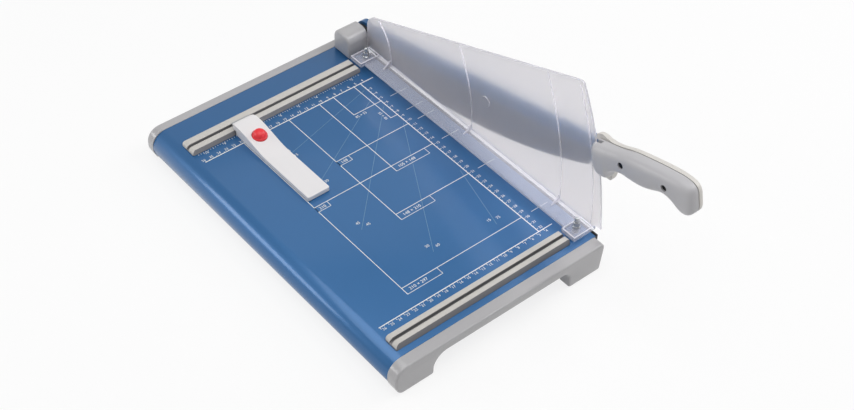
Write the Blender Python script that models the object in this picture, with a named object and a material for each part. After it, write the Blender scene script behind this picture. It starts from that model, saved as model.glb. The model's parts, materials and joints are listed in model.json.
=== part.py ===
"""Guillotine paper cutter with a clear guard that is also its paper clamp.

Frame while modelling: X is zero on the cutting plane and grows away from the table,
Y is zero on the paper stop and grows away from the user, Z is zero on the table top.
At the end the whole cutter is moved so that the origin is the middle of its footprint.
All lengths are metres. The arm is modelled closed, lying along the table, and its
parent empty on the pivot axis lifts it to the resting pose.
"""

import bpy
import bmesh
from math import atan2, cos, hypot, pi, radians, sin, sqrt, tan
from mathutils import Matrix, Vector

# Clearances and finishes shared by all pieces
FIT_GAP = 0.0003
CUT_OVERRUN = 0.002
WELD_OVERLAP = 0.0006
MERGE_DISTANCE = 0.0000002
ARC_STEPS = 5
ROUND_SIDES = 20
SCREW_SIDES = 12
HEX_SIDES = 6

# Bed: how far it reaches from the cutting plane, the stop and the table top
BED_REACH_LEFT = 0.2842
BED_REACH_FRONT = 0.3809
BED_REACH_BACK = 0.0697
BED_HEIGHT = 0.0362
TABLE_SHEET = 0.0015
TABLE_NOSE_RADIUS = 0.019
TABLE_FOLD_DEGREES = 125
TABLE_NOSE_STEPS = 10

# End caps
FRONT_CAP_DEPTH = 0.0140
REAR_CAP_DEPTH = 0.0119
CAP_RIGHT_INSET = 0.0018
CAP_RIGHT_DRAFT = 0.005
CAP_SHOULDER_RADIUS = 0.004
CAP_FACE_RADIUS = 0.003
CAP_FACE_STEPS = 2
CAP_BEAM_HEIGHT = 0.012
CAP_LEFT_DRAFT = 0.005
CAP_LEFT_STRAIGHT = 0.005
CAP_LEFT_BEND_RADIUS = 0.010
FOOT_CORNER_RADIUS = 0.003
FOOT_LEFT_RADIUS = 0.007
RIGHT_FOOT_WIDTH = 0.045
RIGHT_ARCH_RADIUS = 0.010
LEFT_FOOT_WIDTH = 0.044
LEFT_ARCH_RADIUS = 0.017
CAP_LEDGE_DEPTH = 0.0098
CAP_LEDGE_THICKNESS = 0.003
CAP_POCKET_WALL = 0.0035
CAP_POCKET_DEPTH = 0.008
CAP_STUD_DIAMETER = 0.004
CAP_STUD_INSET = 0.030
CAP_NUT_ACROSS_FLATS = 0.007
CAP_NUT_HEIGHT = 0.0032
RUBBER_FOOT_DIAMETER = 0.009
RUBBER_FOOT_HEIGHT = 0.003
RUBBER_FOOT_SHOWING = 0.001

# Lower blade and the angle bar that carries it
LOWER_BLADE_THICKNESS = 0.003
LOWER_BLADE_HEIGHT = 0.022
LOWER_BLADE_BACK_INSET = 0.036
LOWER_BLADE_SCREW_COUNT = 4
LOWER_BLADE_SCREW_MARGIN = 0.030
BAR_WALL = 0.005
BAR_WIDTH = 0.0295
BAR_HEIGHT = 0.026
BLADE_SCREW_DIAMETER = 0.005
BLADE_SCREW_HEAD = 0.009
BLADE_SCREW_HEAD_DEPTH = 0.0019
LOWER_BLADE_SCREW_LENGTH = 0.010

# Rails along the back and front of the table
RAIL_REACH_LEFT = 0.266
RAIL_INSET_RIGHT = 0.0322
RAIL_LEFT_RAMP = 0.007
RAIL_RIGHT_RADIUS = 0.003
RAIL_EDGE_RADIUS = 0.0008
BACK_RAIL_WIDTH = 0.0236
BACK_RAIL_HEIGHT = 0.0055
BACK_RAIL_SLOPE = 0.0024
BACK_RAIL_GROOVE_AT = 0.0118
FRONT_RAIL_WIDTH = 0.0187
FRONT_RAIL_HEIGHT = 0.0065
FRONT_RAIL_SLOPE = 0.0045
FRONT_RAIL_GROOVE_AT = 0.0120
FRONT_RAIL_STANDOFF = 0.0079
RAIL_FAR_SLOPE = 0.0007
RAIL_GROOVE_WIDTH = 0.0042
RAIL_GROOVE_DEPTH = 0.0034
RAIL_SCREW_DIAMETER = 0.003
RAIL_SCREW_HEAD = 0.006
RAIL_SCREW_HEAD_HEIGHT = 0.002
RAIL_SCREW_BITE = 0.0034
RAIL_SCREW_COUNT = 2
RAIL_SCREW_MARGIN = 0.030

# Pivot of the blade arm
PIVOT_INSET = 0.0208
PIVOT_Z = 0.0155
PIVOT_PIN_DIAMETER = 0.010
PIVOT_PIN_BITE = 0.021
PIVOT_PIN_TAIL = 0.0025
PIVOT_PIN_DOME = 0.001
PIVOT_BUSH_WALL = 0.002
PIVOT_BUSH_COLLAR = 0.003
PIVOT_COVER_LENGTH = 0.029
PIVOT_COVER_INSET = 0.0005
PIVOT_COVER_LEAD = 0.010
PIVOT_COVER_DEPTH = 0.0295
PIVOT_COVER_HEIGHT = 0.0305
PIVOT_COVER_RADIUS = 0.0115
PIVOT_COVER_WALL = 0.0022
PIVOT_COVER_FACE_RADIUS = 0.0028
PIVOT_BLOCK_SCREW_DIAMETER = 0.005
PIVOT_BLOCK_SCREW_HEAD = 0.0085
PIVOT_BLOCK_SCREW_HEAD_HEIGHT = 0.004
PIVOT_BLOCK_SCREW_BITE = 0.007
PIVOT_BLOCK_SCREW_SPACING = 0.014
FRICTION_WASHER_DIAMETER = 0.028
SPRING_WASHER_DIAMETER = 0.020
SPRING_WASHER_THICKNESS = 0.0012
SPRING_WASHER_CONE = 0.001
PIVOT_NUT_ACROSS_FLATS = 0.016
PIVOT_NUT_HEIGHT = 0.007

# Blade arm, in the closed pose: reach forward from the pivot, height from its axis
ARM_LIFT_DEGREES = 12.6
BLADE_RUNNING_GAP = 0.0003
UPPER_BLADE_THICKNESS = 0.003
UPPER_BLADE_START = 0.0185
UPPER_BLADE_END_INSET = 0.010
UPPER_BLADE_TOP = 0.004
UPPER_BLADE_EDGE_RADIUS = 0.7466
UPPER_BLADE_EDGE_DROP = 0.0403
UPPER_BLADE_EDGE_MIDDLE_SHARE = 0.478
UPPER_BLADE_EDGE_STEPS = 20
UPPER_BLADE_SCREW_COUNT = 3
UPPER_BLADE_SCREW_MARGIN = 0.040
UPPER_BLADE_SCREW_DROP = 0.004
UPPER_BLADE_NUT_ACROSS_FLATS = 0.008
UPPER_BLADE_NUT_HEIGHT = 0.0035
ARM_WEB = 0.003
ARM_CHANNEL_DEPTH = 0.0079
ARM_FLANGE = 0.0025
ARM_TOP = 0.0175
ARM_BOTTOM = 0.012
ARM_END_GAP = 0.0007
ARM_BOSS_DIAMETER = 0.022
ARM_TANG_TOP = 0.0175
ARM_TANG_BOTTOM = 0.0075
ARM_TANG_MARGIN = 0.0107
ARM_TANG_RADIUS = 0.004

# Handle, two moulded halves around the tang
HANDLE_RIM_OVERLAP = 0.0068
HANDLE_REAR_LEAD = 0.0053
HANDLE_LENGTH = 0.1338
HANDLE_HEIGHT = 0.030
HANDLE_FRONT_WIDTH = 0.0148
HANDLE_REAR_WIDTH = 0.0106
HANDLE_BUMP = 0.005
HANDLE_STOP_DROP = 0.011
HANDLE_SECTION_POINTS = 11
HANDLE_SCREW_FIRST = 0.0415
HANDLE_SCREW_SPACING = 0.0593
HANDLE_SCREW_HEIGHT = 0.0128
HANDLE_SCREW_DIAMETER = 0.004
HANDLE_SCREW_HEAD = 0.0062
HANDLE_SCREW_HEAD_HEIGHT = 0.002
HANDLE_SCREW_SINK = 0.004
HANDLE_SCREW_SKIN = 0.003
RIM_SLOT_CLEARANCE = 0.0006

# Each row is a section across the handle: how far along it is, its top and bottom
# height, its width, how much of the rear bump it carries and how far its finger
# stop drops
HANDLE_SECTION_SHARES = (
    (0.000, 0.700, -0.200, 0.86, 0.60, 0.30),
    (0.021, 0.730, -0.360, 0.96, 0.85, 0.55),
    (0.041, 0.740, -0.450, 1.00, 1.00, 0.80),
    (0.064, 0.746, -0.485, 1.00, 0.95, 0.95),
    (0.090, 0.749, -0.495, 1.00, 0.75, 1.00),
    (0.112, 0.752, -0.495, 1.00, 0.45, 1.00),
    (0.127, 0.753, -0.480, 0.99, 0.36, 0.85),
    (0.136, 0.754, -0.430, 0.98, 0.28, 0.50),
    (0.142, 0.755, -0.330, 0.97, 0.20, 0.15),
    (0.152, 0.757, -0.230, 0.95, 0.08, 0.00),
    (0.172, 0.760, -0.150, 0.92, 0.00, 0.00),
    (0.209, 0.766, -0.080, 0.89, 0.00, 0.00),
    (0.262, 0.790, -0.020, 0.87, 0.00, 0.00),
    (0.314, 0.835, 0.000, 0.88, 0.00, 0.00),
    (0.374, 0.882, -0.030, 0.92, 0.00, 0.00),
    (0.448, 0.908, -0.060, 0.95, 0.00, 0.00),
    (0.538, 0.922, -0.055, 0.96, 0.00, 0.00),
    (0.620, 0.930, 0.010, 0.95, 0.00, 0.00),
    (0.695, 0.933, 0.095, 0.93, 0.00, 0.00),
    (0.759, 0.930, 0.080, 0.92, 0.00, 0.00),
    (0.821, 0.922, -0.060, 0.92, 0.00, 0.00),
    (0.878, 0.900, -0.270, 0.91, 0.00, 0.00),
    (0.919, 0.865, -0.345, 0.88, 0.00, 0.00),
    (0.953, 0.810, -0.335, 0.82, 0.00, 0.00),
    (0.979, 0.725, -0.255, 0.70, 0.00, 0.00),
    (0.994, 0.630, -0.150, 0.50, 0.00, 0.00),
    (1.000, 0.520, -0.030, 0.28, 0.00, 0.00),
)
HANDLE_TOP_SQUARENESS_SHARE = 0.52
HANDLE_BOTTOM_SQUARENESS_SHARE = 0.40

# Clear guard and clamp, one moulding that slides on two studs
CLAMP_LIFT = 0.0053
CLAMP_WIDTH = 0.0255
CLAMP_THICKNESS = 0.003
CLAMP_FRONT_INSET = 0.0046
CLAMP_BACK_INSET = 0.0055
CLAMP_BLOCK_WIDTH = 0.031
CLAMP_BLOCK_DEPTH = 0.020
CLAMP_BLOCK_HEIGHT = 0.005
CLAMP_BLOCK_WALL = 0.0018
CLAMP_BLOCK_FLOOR = 0.003
GUARD_STANDOFF = 0.0006
GUARD_WALL = 0.0024
GUARD_BACK_GAP = 0.002
GUARD_TOP_AT_BACK = 0.0530
GUARD_TOP_SLOPE_DEGREES = 20.7
GUARD_BACK_RADIUS = 0.024
GUARD_NOSE_OVERHANG = 0.0090
GUARD_NOSE_TAPER = 0.0092
GUARD_NOSE_TAPER_POWER_SHARE = 0.7
GUARD_NOSE_CORNER = 0.006
GUARD_NOSE_STEPS = 14
GUARD_RIM_HEIGHT = 0.0125
GUARD_RIM_WIDTH = 0.015
GUARD_RIM_PROUD = 0.0012
GUARD_RIB_COUNT = 3
GUARD_RIB_FIRST = 0.0565
GUARD_RIB_LAST_INSET = 0.0628
GUARD_RIB_WIDTH = 0.0014
GUARD_RIB_PROUD = 0.0012
GUARD_RIB_STEPS = 12
GUSSET_REACH = 0.0125
GUSSET_RISE = 0.010
GUSSET_THICKNESS = 0.0016
GUARD_GATE_DIAMETER = 0.006
GUARD_GATE_LEAD = 0.1765
GUARD_GATE_Z = 0.065
STUD_X = 0.0155
STUD_BACK_INSET = 0.010
STUD_FRONT_INSET = 0.0133
STUD_DIAMETER = 0.005
STUD_TOP = 0.0215
STUD_DOME = 0.0015
STUD_TAIL = 0.003
STOP_NUT_DIAMETER = 0.007
STOP_NUT_FLANGE_DIAMETER = 0.009
STOP_NUT_FLANGE = 0.0012
STOP_NUT_HEIGHT = 0.007
STUD_NUT_ACROSS_FLATS = 0.008
STUD_NUT_HEIGHT = 0.004
CLAMP_SPRING_WIRE = 0.0006
CLAMP_SPRING_FOOT_DIAMETER = 0.0090
CLAMP_SPRING_TOP_DIAMETER = 0.0072
CLAMP_SPRING_TURNS = 3
CLAMP_SPRING_SEAT = 0.0015
SPRING_POINTS_PER_TURN = 10

# Back gauge that slides on the back rail, with its release button
GAUGE_X = 0.195
GAUGE_WIDTH = 0.0287
GAUGE_REACH_FRONT = 0.1368
GAUGE_REACH_BACK = 0.0078
GAUGE_FRONT_HEIGHT = 0.0056
GAUGE_WAIST_HEIGHT = 0.0052
GAUGE_HUMP_HEIGHT = 0.0135
GAUGE_WAIST_AT = 0.060
GAUGE_HUMP_AT = 0.006
GAUGE_END_RADIUS = 0.0045
GAUGE_WALL = 0.0022
GAUGE_POCKET_START = 0.046
GAUGE_EDGE_RADIUS = 0.0012
GAUGE_CURVE_STEPS = 8
LATCH_THICKNESS = 0.0015
LATCH_FRONT = 0.0150
LATCH_LIP_GAP = 0.0006
LATCH_SCREW_DIAMETER = 0.0025
LATCH_SCREW_HEAD = 0.005
LATCH_SCREW_HEAD_HEIGHT = 0.0015
LATCH_SCREW_BITE = 0.003
BUTTON_Y = 0.0265
BUTTON_DIAMETER = 0.0176
BUTTON_TRAVEL = 0.002
BUTTON_TOP = 0.0162
BUTTON_SHOULDER = 0.0114
BUTTON_BOTTOM = 0.0072
BUTTON_WELL_FLOOR = 0.0022
BUTTON_SPRING_WIRE = 0.0006
BUTTON_SPRING_DIAMETER = 0.008
BUTTON_SPRING_TURNS = 3


def clear_scene():
    """Remove every object that the file opened with."""
    for old in list(bpy.data.objects):
        bpy.data.objects.remove(old, do_unlink=True)


def finish(name, colour, roughness, metallic=0.0, alpha=1.0):
    """A Principled material for one kind of piece."""
    made = bpy.data.materials.new(name)
    made.use_nodes = True
    shader = made.node_tree.nodes["Principled BSDF"]
    shader.inputs["Base Color"].default_value = (*colour, 1.0)
    shader.inputs["Roughness"].default_value = roughness
    shader.inputs["Metallic"].default_value = metallic
    shader.inputs["Alpha"].default_value = alpha
    return made


def empty(name, location, parent=None, turn_x=0.0):
    """An empty that carries a group of pieces."""
    made = bpy.data.objects.new(name, None)
    bpy.context.scene.collection.objects.link(made)
    made.location = location
    made.rotation_euler = (turn_x, 0.0, 0.0)
    made.parent = parent
    return made


def solid(name, bm, material, parent):
    """Turn a finished bmesh into a named object."""
    bmesh.ops.recalc_face_normals(bm, faces=bm.faces)
    mesh = bpy.data.meshes.new(name)
    bm.to_mesh(mesh)
    bm.free()
    mesh.materials.append(material)
    made = bpy.data.objects.new(name, mesh)
    bpy.context.scene.collection.objects.link(made)
    made.parent = parent
    mesh.shade_smooth()
    mesh.set_sharp_from_angle(angle=radians(30))
    return made


def guide(name, bm, parent):
    """A hidden body that cuts or joins another one."""
    made = solid(name, bm, FINISHES["steel"], parent)
    made.hide_render = True
    made.display_type = "WIRE"
    return made


def gather(bodies):
    """Put separate bodies into one bmesh, for a tool that works in several places."""
    whole = bmesh.new()
    for body in bodies:
        loose = bpy.data.meshes.new("loose")
        body.to_mesh(loose)
        body.free()
        whole.from_mesh(loose)
        bpy.data.meshes.remove(loose)
    return whole


def combine(target, bodies, operation):
    """Cut or join bodies on the target with one Boolean modifier."""
    tool = guide(target.name + "_tool", gather(bodies), target.parent)
    modifier = target.modifiers.new(operation.lower(), "BOOLEAN")
    modifier.object = tool
    modifier.operation = operation
    modifier.solver = "EXACT"


def cut(target, *bodies):
    """Take bodies that don't touch each other away from the target."""
    combine(target, bodies, "DIFFERENCE")


def join(target, *bodies):
    """Grow the target by bodies that overlap it and not each other."""
    combine(target, bodies, "UNION")


def at(axis, a, b, along):
    """Place a flat outline point (a, b) at a depth along an axis."""
    places = {"X": (along, a, b), "Y": (a, along, b), "Z": (a, b, along)}
    return places[axis]


def arc(centre, radius, start, end, steps):
    """Points of an arc, angles in degrees, both ends included."""
    points = []
    for step in range(steps + 1):
        angle = radians(start + (end - start) * step / steps)
        points.append((centre[0] + radius * cos(angle), centre[1] + radius * sin(angle)))
    return points


def rounded(corners, steps=ARC_STEPS):
    """An outline from corners (a, b, radius), with the round ones as arcs."""
    outline = []
    count = len(corners)
    for index, (a, b, radius) in enumerate(corners):
        if radius == 0:
            outline.append((a, b))
            continue
        corner = Vector((a, b))
        before = (Vector(corners[index - 1][:2]) - corner).normalized()
        after = (Vector(corners[(index + 1) % count][:2]) - corner).normalized()
        half = before.angle(after) / 2
        reach = radius / tan(half)
        middle = corner + (before + after).normalized() * (radius / sin(half))
        first = corner + before * reach - middle
        turn = (corner + after * reach - middle).angle_signed(first)
        for step in range(steps + 1):
            spoke = Matrix.Rotation(turn * step / steps, 2) @ first
            outline.append(tuple(middle + spoke))
    return outline


def prism(outline, axis, start, end):
    """A straight extrusion of an outline."""
    bm = bmesh.new()
    face = bm.faces.new([bm.verts.new(at(axis, a, b, start)) for a, b in outline])
    grown = bmesh.ops.extrude_face_region(bm, geom=[face])
    moved = [part for part in grown["geom"] if isinstance(part, bmesh.types.BMVert)]
    bmesh.ops.translate(bm, verts=moved, vec=Vector(at(axis, 0, 0, end - start)))
    bmesh.ops.recalc_face_normals(bm, faces=bm.faces)
    return bm


def box(low, high):
    """A block between two corners."""
    outline = [(low[1], low[2]), (high[1], low[2]), (high[1], high[2]), (low[1], high[2])]
    return prism(outline, "X", low[0], high[0])


def soften_end(bm, axis, along, radius, steps):
    """Round the outer edge of the flat face that lies at one depth along an axis."""
    place = "XYZ".index(axis)
    edges = []
    for edge in bm.edges:
        if all(abs(vert.co[place] - along) < MERGE_DISTANCE for vert in edge.verts):
            edges.append(edge)
    bmesh.ops.bevel(bm, geom=edges, offset=radius, affect="EDGES", segments=steps,
                    profile=0.5, material=-1)
    return bm


def turned(profile, axis, centre, sides=ROUND_SIDES, closed=False):
    """A body turned from a profile of (radius, depth) around an axis through a centre."""
    bm = bmesh.new()
    verts = [bm.verts.new(at(axis, radius, 0, depth)) for radius, depth in profile]
    edges = [bm.edges.new(pair) for pair in zip(verts, verts[1:])]
    if closed:
        edges.append(bm.edges.new((verts[-1], verts[0])))
    bmesh.ops.spin(bm, geom=verts + edges, cent=(0, 0, 0), axis=at(axis, 0, 0, 1),
                   angle=2 * pi, steps=sides, use_merge=True)
    bmesh.ops.remove_doubles(bm, verts=bm.verts, dist=MERGE_DISTANCE)
    bmesh.ops.translate(bm, verts=bm.verts, vec=Vector(at(axis, centre[0], centre[1], 0)))
    bmesh.ops.recalc_face_normals(bm, faces=bm.faces)
    return bm


def pin(axis, centre, diameter, start, end, sides=ROUND_SIDES):
    """A plain cylinder."""
    radius = diameter / 2
    return turned([(0, start), (radius, start), (radius, end), (0, end)], axis, centre, sides)


def ring(axis, centre, outer, inner, start, end, sides=ROUND_SIDES):
    """A plain ring."""
    profile = [(inner / 2, start), (outer / 2, start), (outer / 2, end), (inner / 2, end)]
    return turned(profile, axis, centre, sides, closed=True)


def hex_nut(axis, centre, across_flats, thread, start, end):
    """A six-sided nut around a thread."""
    corner = 1 / cos(pi / HEX_SIDES)
    bore = (thread + 2 * FIT_GAP) * corner
    return ring(axis, centre, across_flats * corner, bore, start, end, HEX_SIDES)


def domed_pin(axis, centre, diameter, start, end, dome):
    """A pin whose far end is slightly domed."""
    radius = diameter / 2
    way = 1 if end > start else -1
    profile = [(0, start), (radius, start), (radius, end - way * dome)]
    profile += [(radius * cos(radians(55)), end - way * dome * (1 - sin(radians(55)))), (0, end)]
    return turned(profile, axis, centre, SCREW_SIDES)


def sunk_screw(axis, centre, diameter, head, head_depth, face, length):
    """A countersunk screw whose head lies flush with a face; a signed length sets its way."""
    way = 1 if length > 0 else -1
    flush = face + way * FIT_GAP
    profile = [(0, flush), (head / 2, flush), (diameter / 2, flush + way * head_depth),
               (diameter / 2, face + length), (0, face + length)]
    return turned(profile, axis, centre, SCREW_SIDES)


def sunk_hole(axis, centre, diameter, head, head_depth, face, length):
    """The hole that a countersunk screw sits in, with a gap all round."""
    way = 1 if length > 0 else -1
    outer = face - way * CUT_OVERRUN
    wide = head / 2 + 2 * FIT_GAP
    narrow = diameter / 2 + FIT_GAP
    rim = face + way * FIT_GAP
    deep = face + way * (head_depth + 2 * FIT_GAP)
    end = face + length + way * CUT_OVERRUN
    profile = [(0, outer), (wide, outer), (wide, rim), (narrow, deep), (narrow, end), (0, end)]
    return turned(profile, axis, centre, SCREW_SIDES)


def headed_screw(axis, centre, diameter, head, head_height, seat, length):
    """A screw whose head stands on a seat; a signed length sets its way."""
    way = 1 if length > 0 else -1
    top = seat - way * (FIT_GAP + head_height)
    under = seat - way * FIT_GAP
    profile = [(0, top), (head / 2, top), (head / 2, under), (diameter / 2, under),
               (diameter / 2, seat + length), (0, seat + length)]
    return turned(profile, axis, centre, SCREW_SIDES)


def stepped_hole(axis, centre, diameter, head, mouth, seat, end):
    """A counterbore with a clearance hole below it."""
    wide = head / 2 + 2 * FIT_GAP
    narrow = diameter / 2 + FIT_GAP
    profile = [(0, mouth), (wide, mouth), (wide, seat), (narrow, seat), (narrow, end), (0, end)]
    return turned(profile, axis, centre, SCREW_SIDES)


def screw_hole(axis, centre, diameter, start, end):
    """A clearance hole for a screw."""
    return pin(axis, centre, diameter + 2 * FIT_GAP, start, end, SCREW_SIDES)


def copies(name, bodies, material, parent):
    """One numbered object for each of several identical pieces."""
    return [solid(f"{name}_{number}", body, material, parent)
            for number, body in enumerate(bodies, 1)]


def coil(name, centre, foot, top, foot_diameter, top_diameter, wire, turns, material, parent):
    """An open helical spring standing on Z, as one round wire."""
    data = bpy.data.curves.new(name, "CURVE")
    data.dimensions = "3D"
    data.bevel_depth = wire / 2
    data.bevel_resolution = 1
    data.use_fill_caps = True
    count = turns * SPRING_POINTS_PER_TURN + 1
    line = data.splines.new("POLY")
    line.points.add(count - 1)
    low = foot + wire / 2
    high = top - wire / 2
    places = []
    for index in range(count):
        share = index / (count - 1)
        radius = (foot_diameter + (top_diameter - foot_diameter) * share - wire) / 2
        angle = 2 * pi * turns * share
        places.append(Vector((centre[0] + radius * cos(angle), centre[1] + radius * sin(angle),
                              low + (high - low) * share)))
        line.points[index].co = (*places[-1], 1.0)
    nearest = min((places[i] - places[j]).length for i in range(count)
                  for j in range(i + SPRING_POINTS_PER_TURN // 2, count))
    print(f"{name}: least gap between turns {1000 * (nearest - wire):.2f} mm")
    data.materials.append(material)
    made = bpy.data.objects.new(name, data)
    bpy.context.scene.collection.objects.link(made)
    made.parent = parent
    return made


# Places that several pieces share
TABLE_RIGHT = -(LOWER_BLADE_THICKNESS + FIT_GAP)
FRONT_INNER = -(BED_REACH_FRONT - FRONT_CAP_DEPTH)
REAR_INNER = BED_REACH_BACK - REAR_CAP_DEPTH
PIVOT_Y = REAR_INNER - PIVOT_INSET
PIVOT_COVER_FRONT = PIVOT_Y - PIVOT_COVER_LEAD
CLAMP_FRONT = -FRONT_INNER - CLAMP_FRONT_INSET
CLAMP_BACK = PIVOT_COVER_FRONT - CLAMP_BACK_INSET
GUARD_BACK = PIVOT_COVER_FRONT - GUARD_BACK_GAP
GUARD_NOSE_RADIUS = PIVOT_Y + CLAMP_FRONT + GUARD_NOSE_OVERHANG
GUARD_NOSE_TOP_RADIUS = GUARD_NOSE_RADIUS - GUARD_NOSE_TAPER
HANDLE_START = GUARD_NOSE_RADIUS - HANDLE_RIM_OVERLAP
HANDLE_REAR_START = HANDLE_START - HANDLE_REAR_LEAD
ARM_END = HANDLE_REAR_START - ARM_END_GAP
UPPER_BLADE_END = ARM_END - UPPER_BLADE_END_INSET
UPPER_BLADE_LENGTH = UPPER_BLADE_END - UPPER_BLADE_START
UPPER_BLADE_EDGE_MIDDLE = UPPER_BLADE_START + UPPER_BLADE_LENGTH * UPPER_BLADE_EDGE_MIDDLE_SHARE
STUD_YS = (CLAMP_BACK - STUD_BACK_INSET, STUD_FRONT_INSET - CLAMP_FRONT)
SHEET_UNDER = -(TABLE_SHEET + FIT_GAP)
NOSE_X = -(BED_REACH_LEFT - TABLE_NOSE_RADIUS)
RIGHT_FOOT_INNER = -(CAP_RIGHT_INSET + CAP_RIGHT_DRAFT + RIGHT_FOOT_WIDTH)
LEFT_FOOT_INNER = -(BED_REACH_LEFT - CAP_LEFT_DRAFT - LEFT_FOOT_WIDTH)
LEDGE_UNDER = SHEET_UNDER - CAP_LEDGE_THICKNESS
CAP_STUD_XS = (RIGHT_FOOT_INNER - CAP_STUD_INSET, LEFT_FOOT_INNER + CAP_STUD_INSET)
CAP_STUD_YS = (FRONT_INNER + CAP_LEDGE_DEPTH / 2, REAR_INNER - CAP_LEDGE_DEPTH / 2)
BAR_UNDER = SHEET_UNDER - BAR_WALL
ARM_FACE = BLADE_RUNNING_GAP + UPPER_BLADE_THICKNESS + FIT_GAP
ARM_OUTER = ARM_FACE + ARM_CHANNEL_DEPTH
GUARD_FACE = -(GUARD_STANDOFF + GUARD_WALL)
FRONT_RAIL_FOOT = FRONT_INNER + FRONT_RAIL_STANDOFF
CLAMP_TOP = CLAMP_LIFT + CLAMP_THICKNESS
BLOCK_FLOOR = CLAMP_LIFT + CLAMP_BLOCK_FLOOR
SEAM_X = ARM_FACE
HANDLE_SCREW_REACHES = tuple(HANDLE_START + HANDLE_SCREW_FIRST + HANDLE_SCREW_SPACING * n
                             for n in range(2))
HANDLE_SCREW_END = SEAM_X + HANDLE_REAR_WIDTH - HANDLE_SCREW_SKIN
ARM_TANG_END = HANDLE_SCREW_REACHES[-1] + ARM_TANG_MARGIN
UPPER_BLADE_SCREW_W = -UPPER_BLADE_SCREW_DROP
LATCH_UNDER = BACK_RAIL_HEIGHT + 3 * FIT_GAP
LATCH_TOP = LATCH_UNDER + LATCH_THICKNESS
LATCH_SCREW_Y = -LATCH_FRONT / 2


def cap_outline():
    """The front view of an end cap: bullnose, two feet and the beam between them."""
    straight_end = -(TABLE_NOSE_RADIUS + CAP_LEFT_STRAIGHT)
    return rounded([
        (-CAP_RIGHT_INSET, 0, CAP_SHOULDER_RADIUS),
        (-(CAP_RIGHT_INSET + CAP_RIGHT_DRAFT), -BED_HEIGHT, FOOT_CORNER_RADIUS),
        (RIGHT_FOOT_INNER, -BED_HEIGHT, FOOT_CORNER_RADIUS),
        (RIGHT_FOOT_INNER, -CAP_BEAM_HEIGHT, RIGHT_ARCH_RADIUS),
        (LEFT_FOOT_INNER, -CAP_BEAM_HEIGHT, LEFT_ARCH_RADIUS),
        (LEFT_FOOT_INNER, -BED_HEIGHT, FOOT_CORNER_RADIUS),
        (-(BED_REACH_LEFT - CAP_LEFT_DRAFT), -BED_HEIGHT, FOOT_LEFT_RADIUS),
        (-BED_REACH_LEFT, straight_end, CAP_LEFT_BEND_RADIUS),
        (-BED_REACH_LEFT, 0, TABLE_NOSE_RADIUS - CAP_LEFT_BEND_RADIUS / 4),
    ])


def foot_places():
    """Where the rubber feet sit: the middle of each foot of each cap."""
    right = (RIGHT_FOOT_INNER - CAP_RIGHT_INSET - CAP_RIGHT_DRAFT) / 2
    left = (LEFT_FOOT_INNER - BED_REACH_LEFT + CAP_LEFT_DRAFT) / 2
    front = -(BED_REACH_FRONT - FRONT_CAP_DEPTH / 2)
    rear = BED_REACH_BACK - REAR_CAP_DEPTH / 2
    return [(x, y) for x in (right, left) for y in (front, rear)]


def end_cap(name, inner, outer, parent):
    """One moulded end of the bed, with cored feet and a ledge under the table sheet."""
    inward = 1 if inner > outer else -1
    bm = prism(cap_outline(), "Y", inner, outer)
    soften_end(bm, "Y", outer, CAP_FACE_RADIUS, CAP_FACE_STEPS)
    cap = solid(name, bm, FINISHES["grey_plastic"], parent)
    ledge_ys = sorted((inner - inward * WELD_OVERLAP, inner + inward * CAP_LEDGE_DEPTH))
    join(cap, box((LEFT_FOOT_INNER, ledge_ys[0], LEDGE_UNDER),
                  (RIGHT_FOOT_INNER, ledge_ys[1], SHEET_UNDER)))
    pocket_ys = sorted((inner - inward * CAP_POCKET_DEPTH, inner + inward * CUT_OVERRUN))
    floor = -BED_HEIGHT + RUBBER_FOOT_HEIGHT + CAP_POCKET_WALL
    ceiling = -CAP_BEAM_HEIGHT
    right_pocket = box((RIGHT_FOOT_INNER + CAP_POCKET_WALL, pocket_ys[0], floor),
                       (-(CAP_RIGHT_INSET + CAP_RIGHT_DRAFT + CAP_POCKET_WALL), pocket_ys[1],
                        ceiling))
    left_pocket = box((-(BED_REACH_LEFT - CAP_LEFT_DRAFT - CAP_POCKET_WALL), pocket_ys[0], floor),
                      (LEFT_FOOT_INNER - CAP_POCKET_WALL, pocket_ys[1], ceiling))
    cut(cap, right_pocket, left_pocket)
    sink = RUBBER_FOOT_HEIGHT - RUBBER_FOOT_SHOWING + FIT_GAP
    recesses = [pin("Z", (x, y), RUBBER_FOOT_DIAMETER + 2 * FIT_GAP,
                    -BED_HEIGHT - CUT_OVERRUN, -BED_HEIGHT + sink)
                for x, y in foot_places() if (y > 0) == (outer > 0)]
    stud_y = CAP_STUD_YS[0] if outer < 0 else CAP_STUD_YS[1]
    holes = [screw_hole("Z", (x, stud_y), CAP_STUD_DIAMETER, LEDGE_UNDER - CUT_OVERRUN,
                        -TABLE_SHEET + CUT_OVERRUN) for x in CAP_STUD_XS]
    cut(cap, *recesses, *holes)
    return cap


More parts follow.
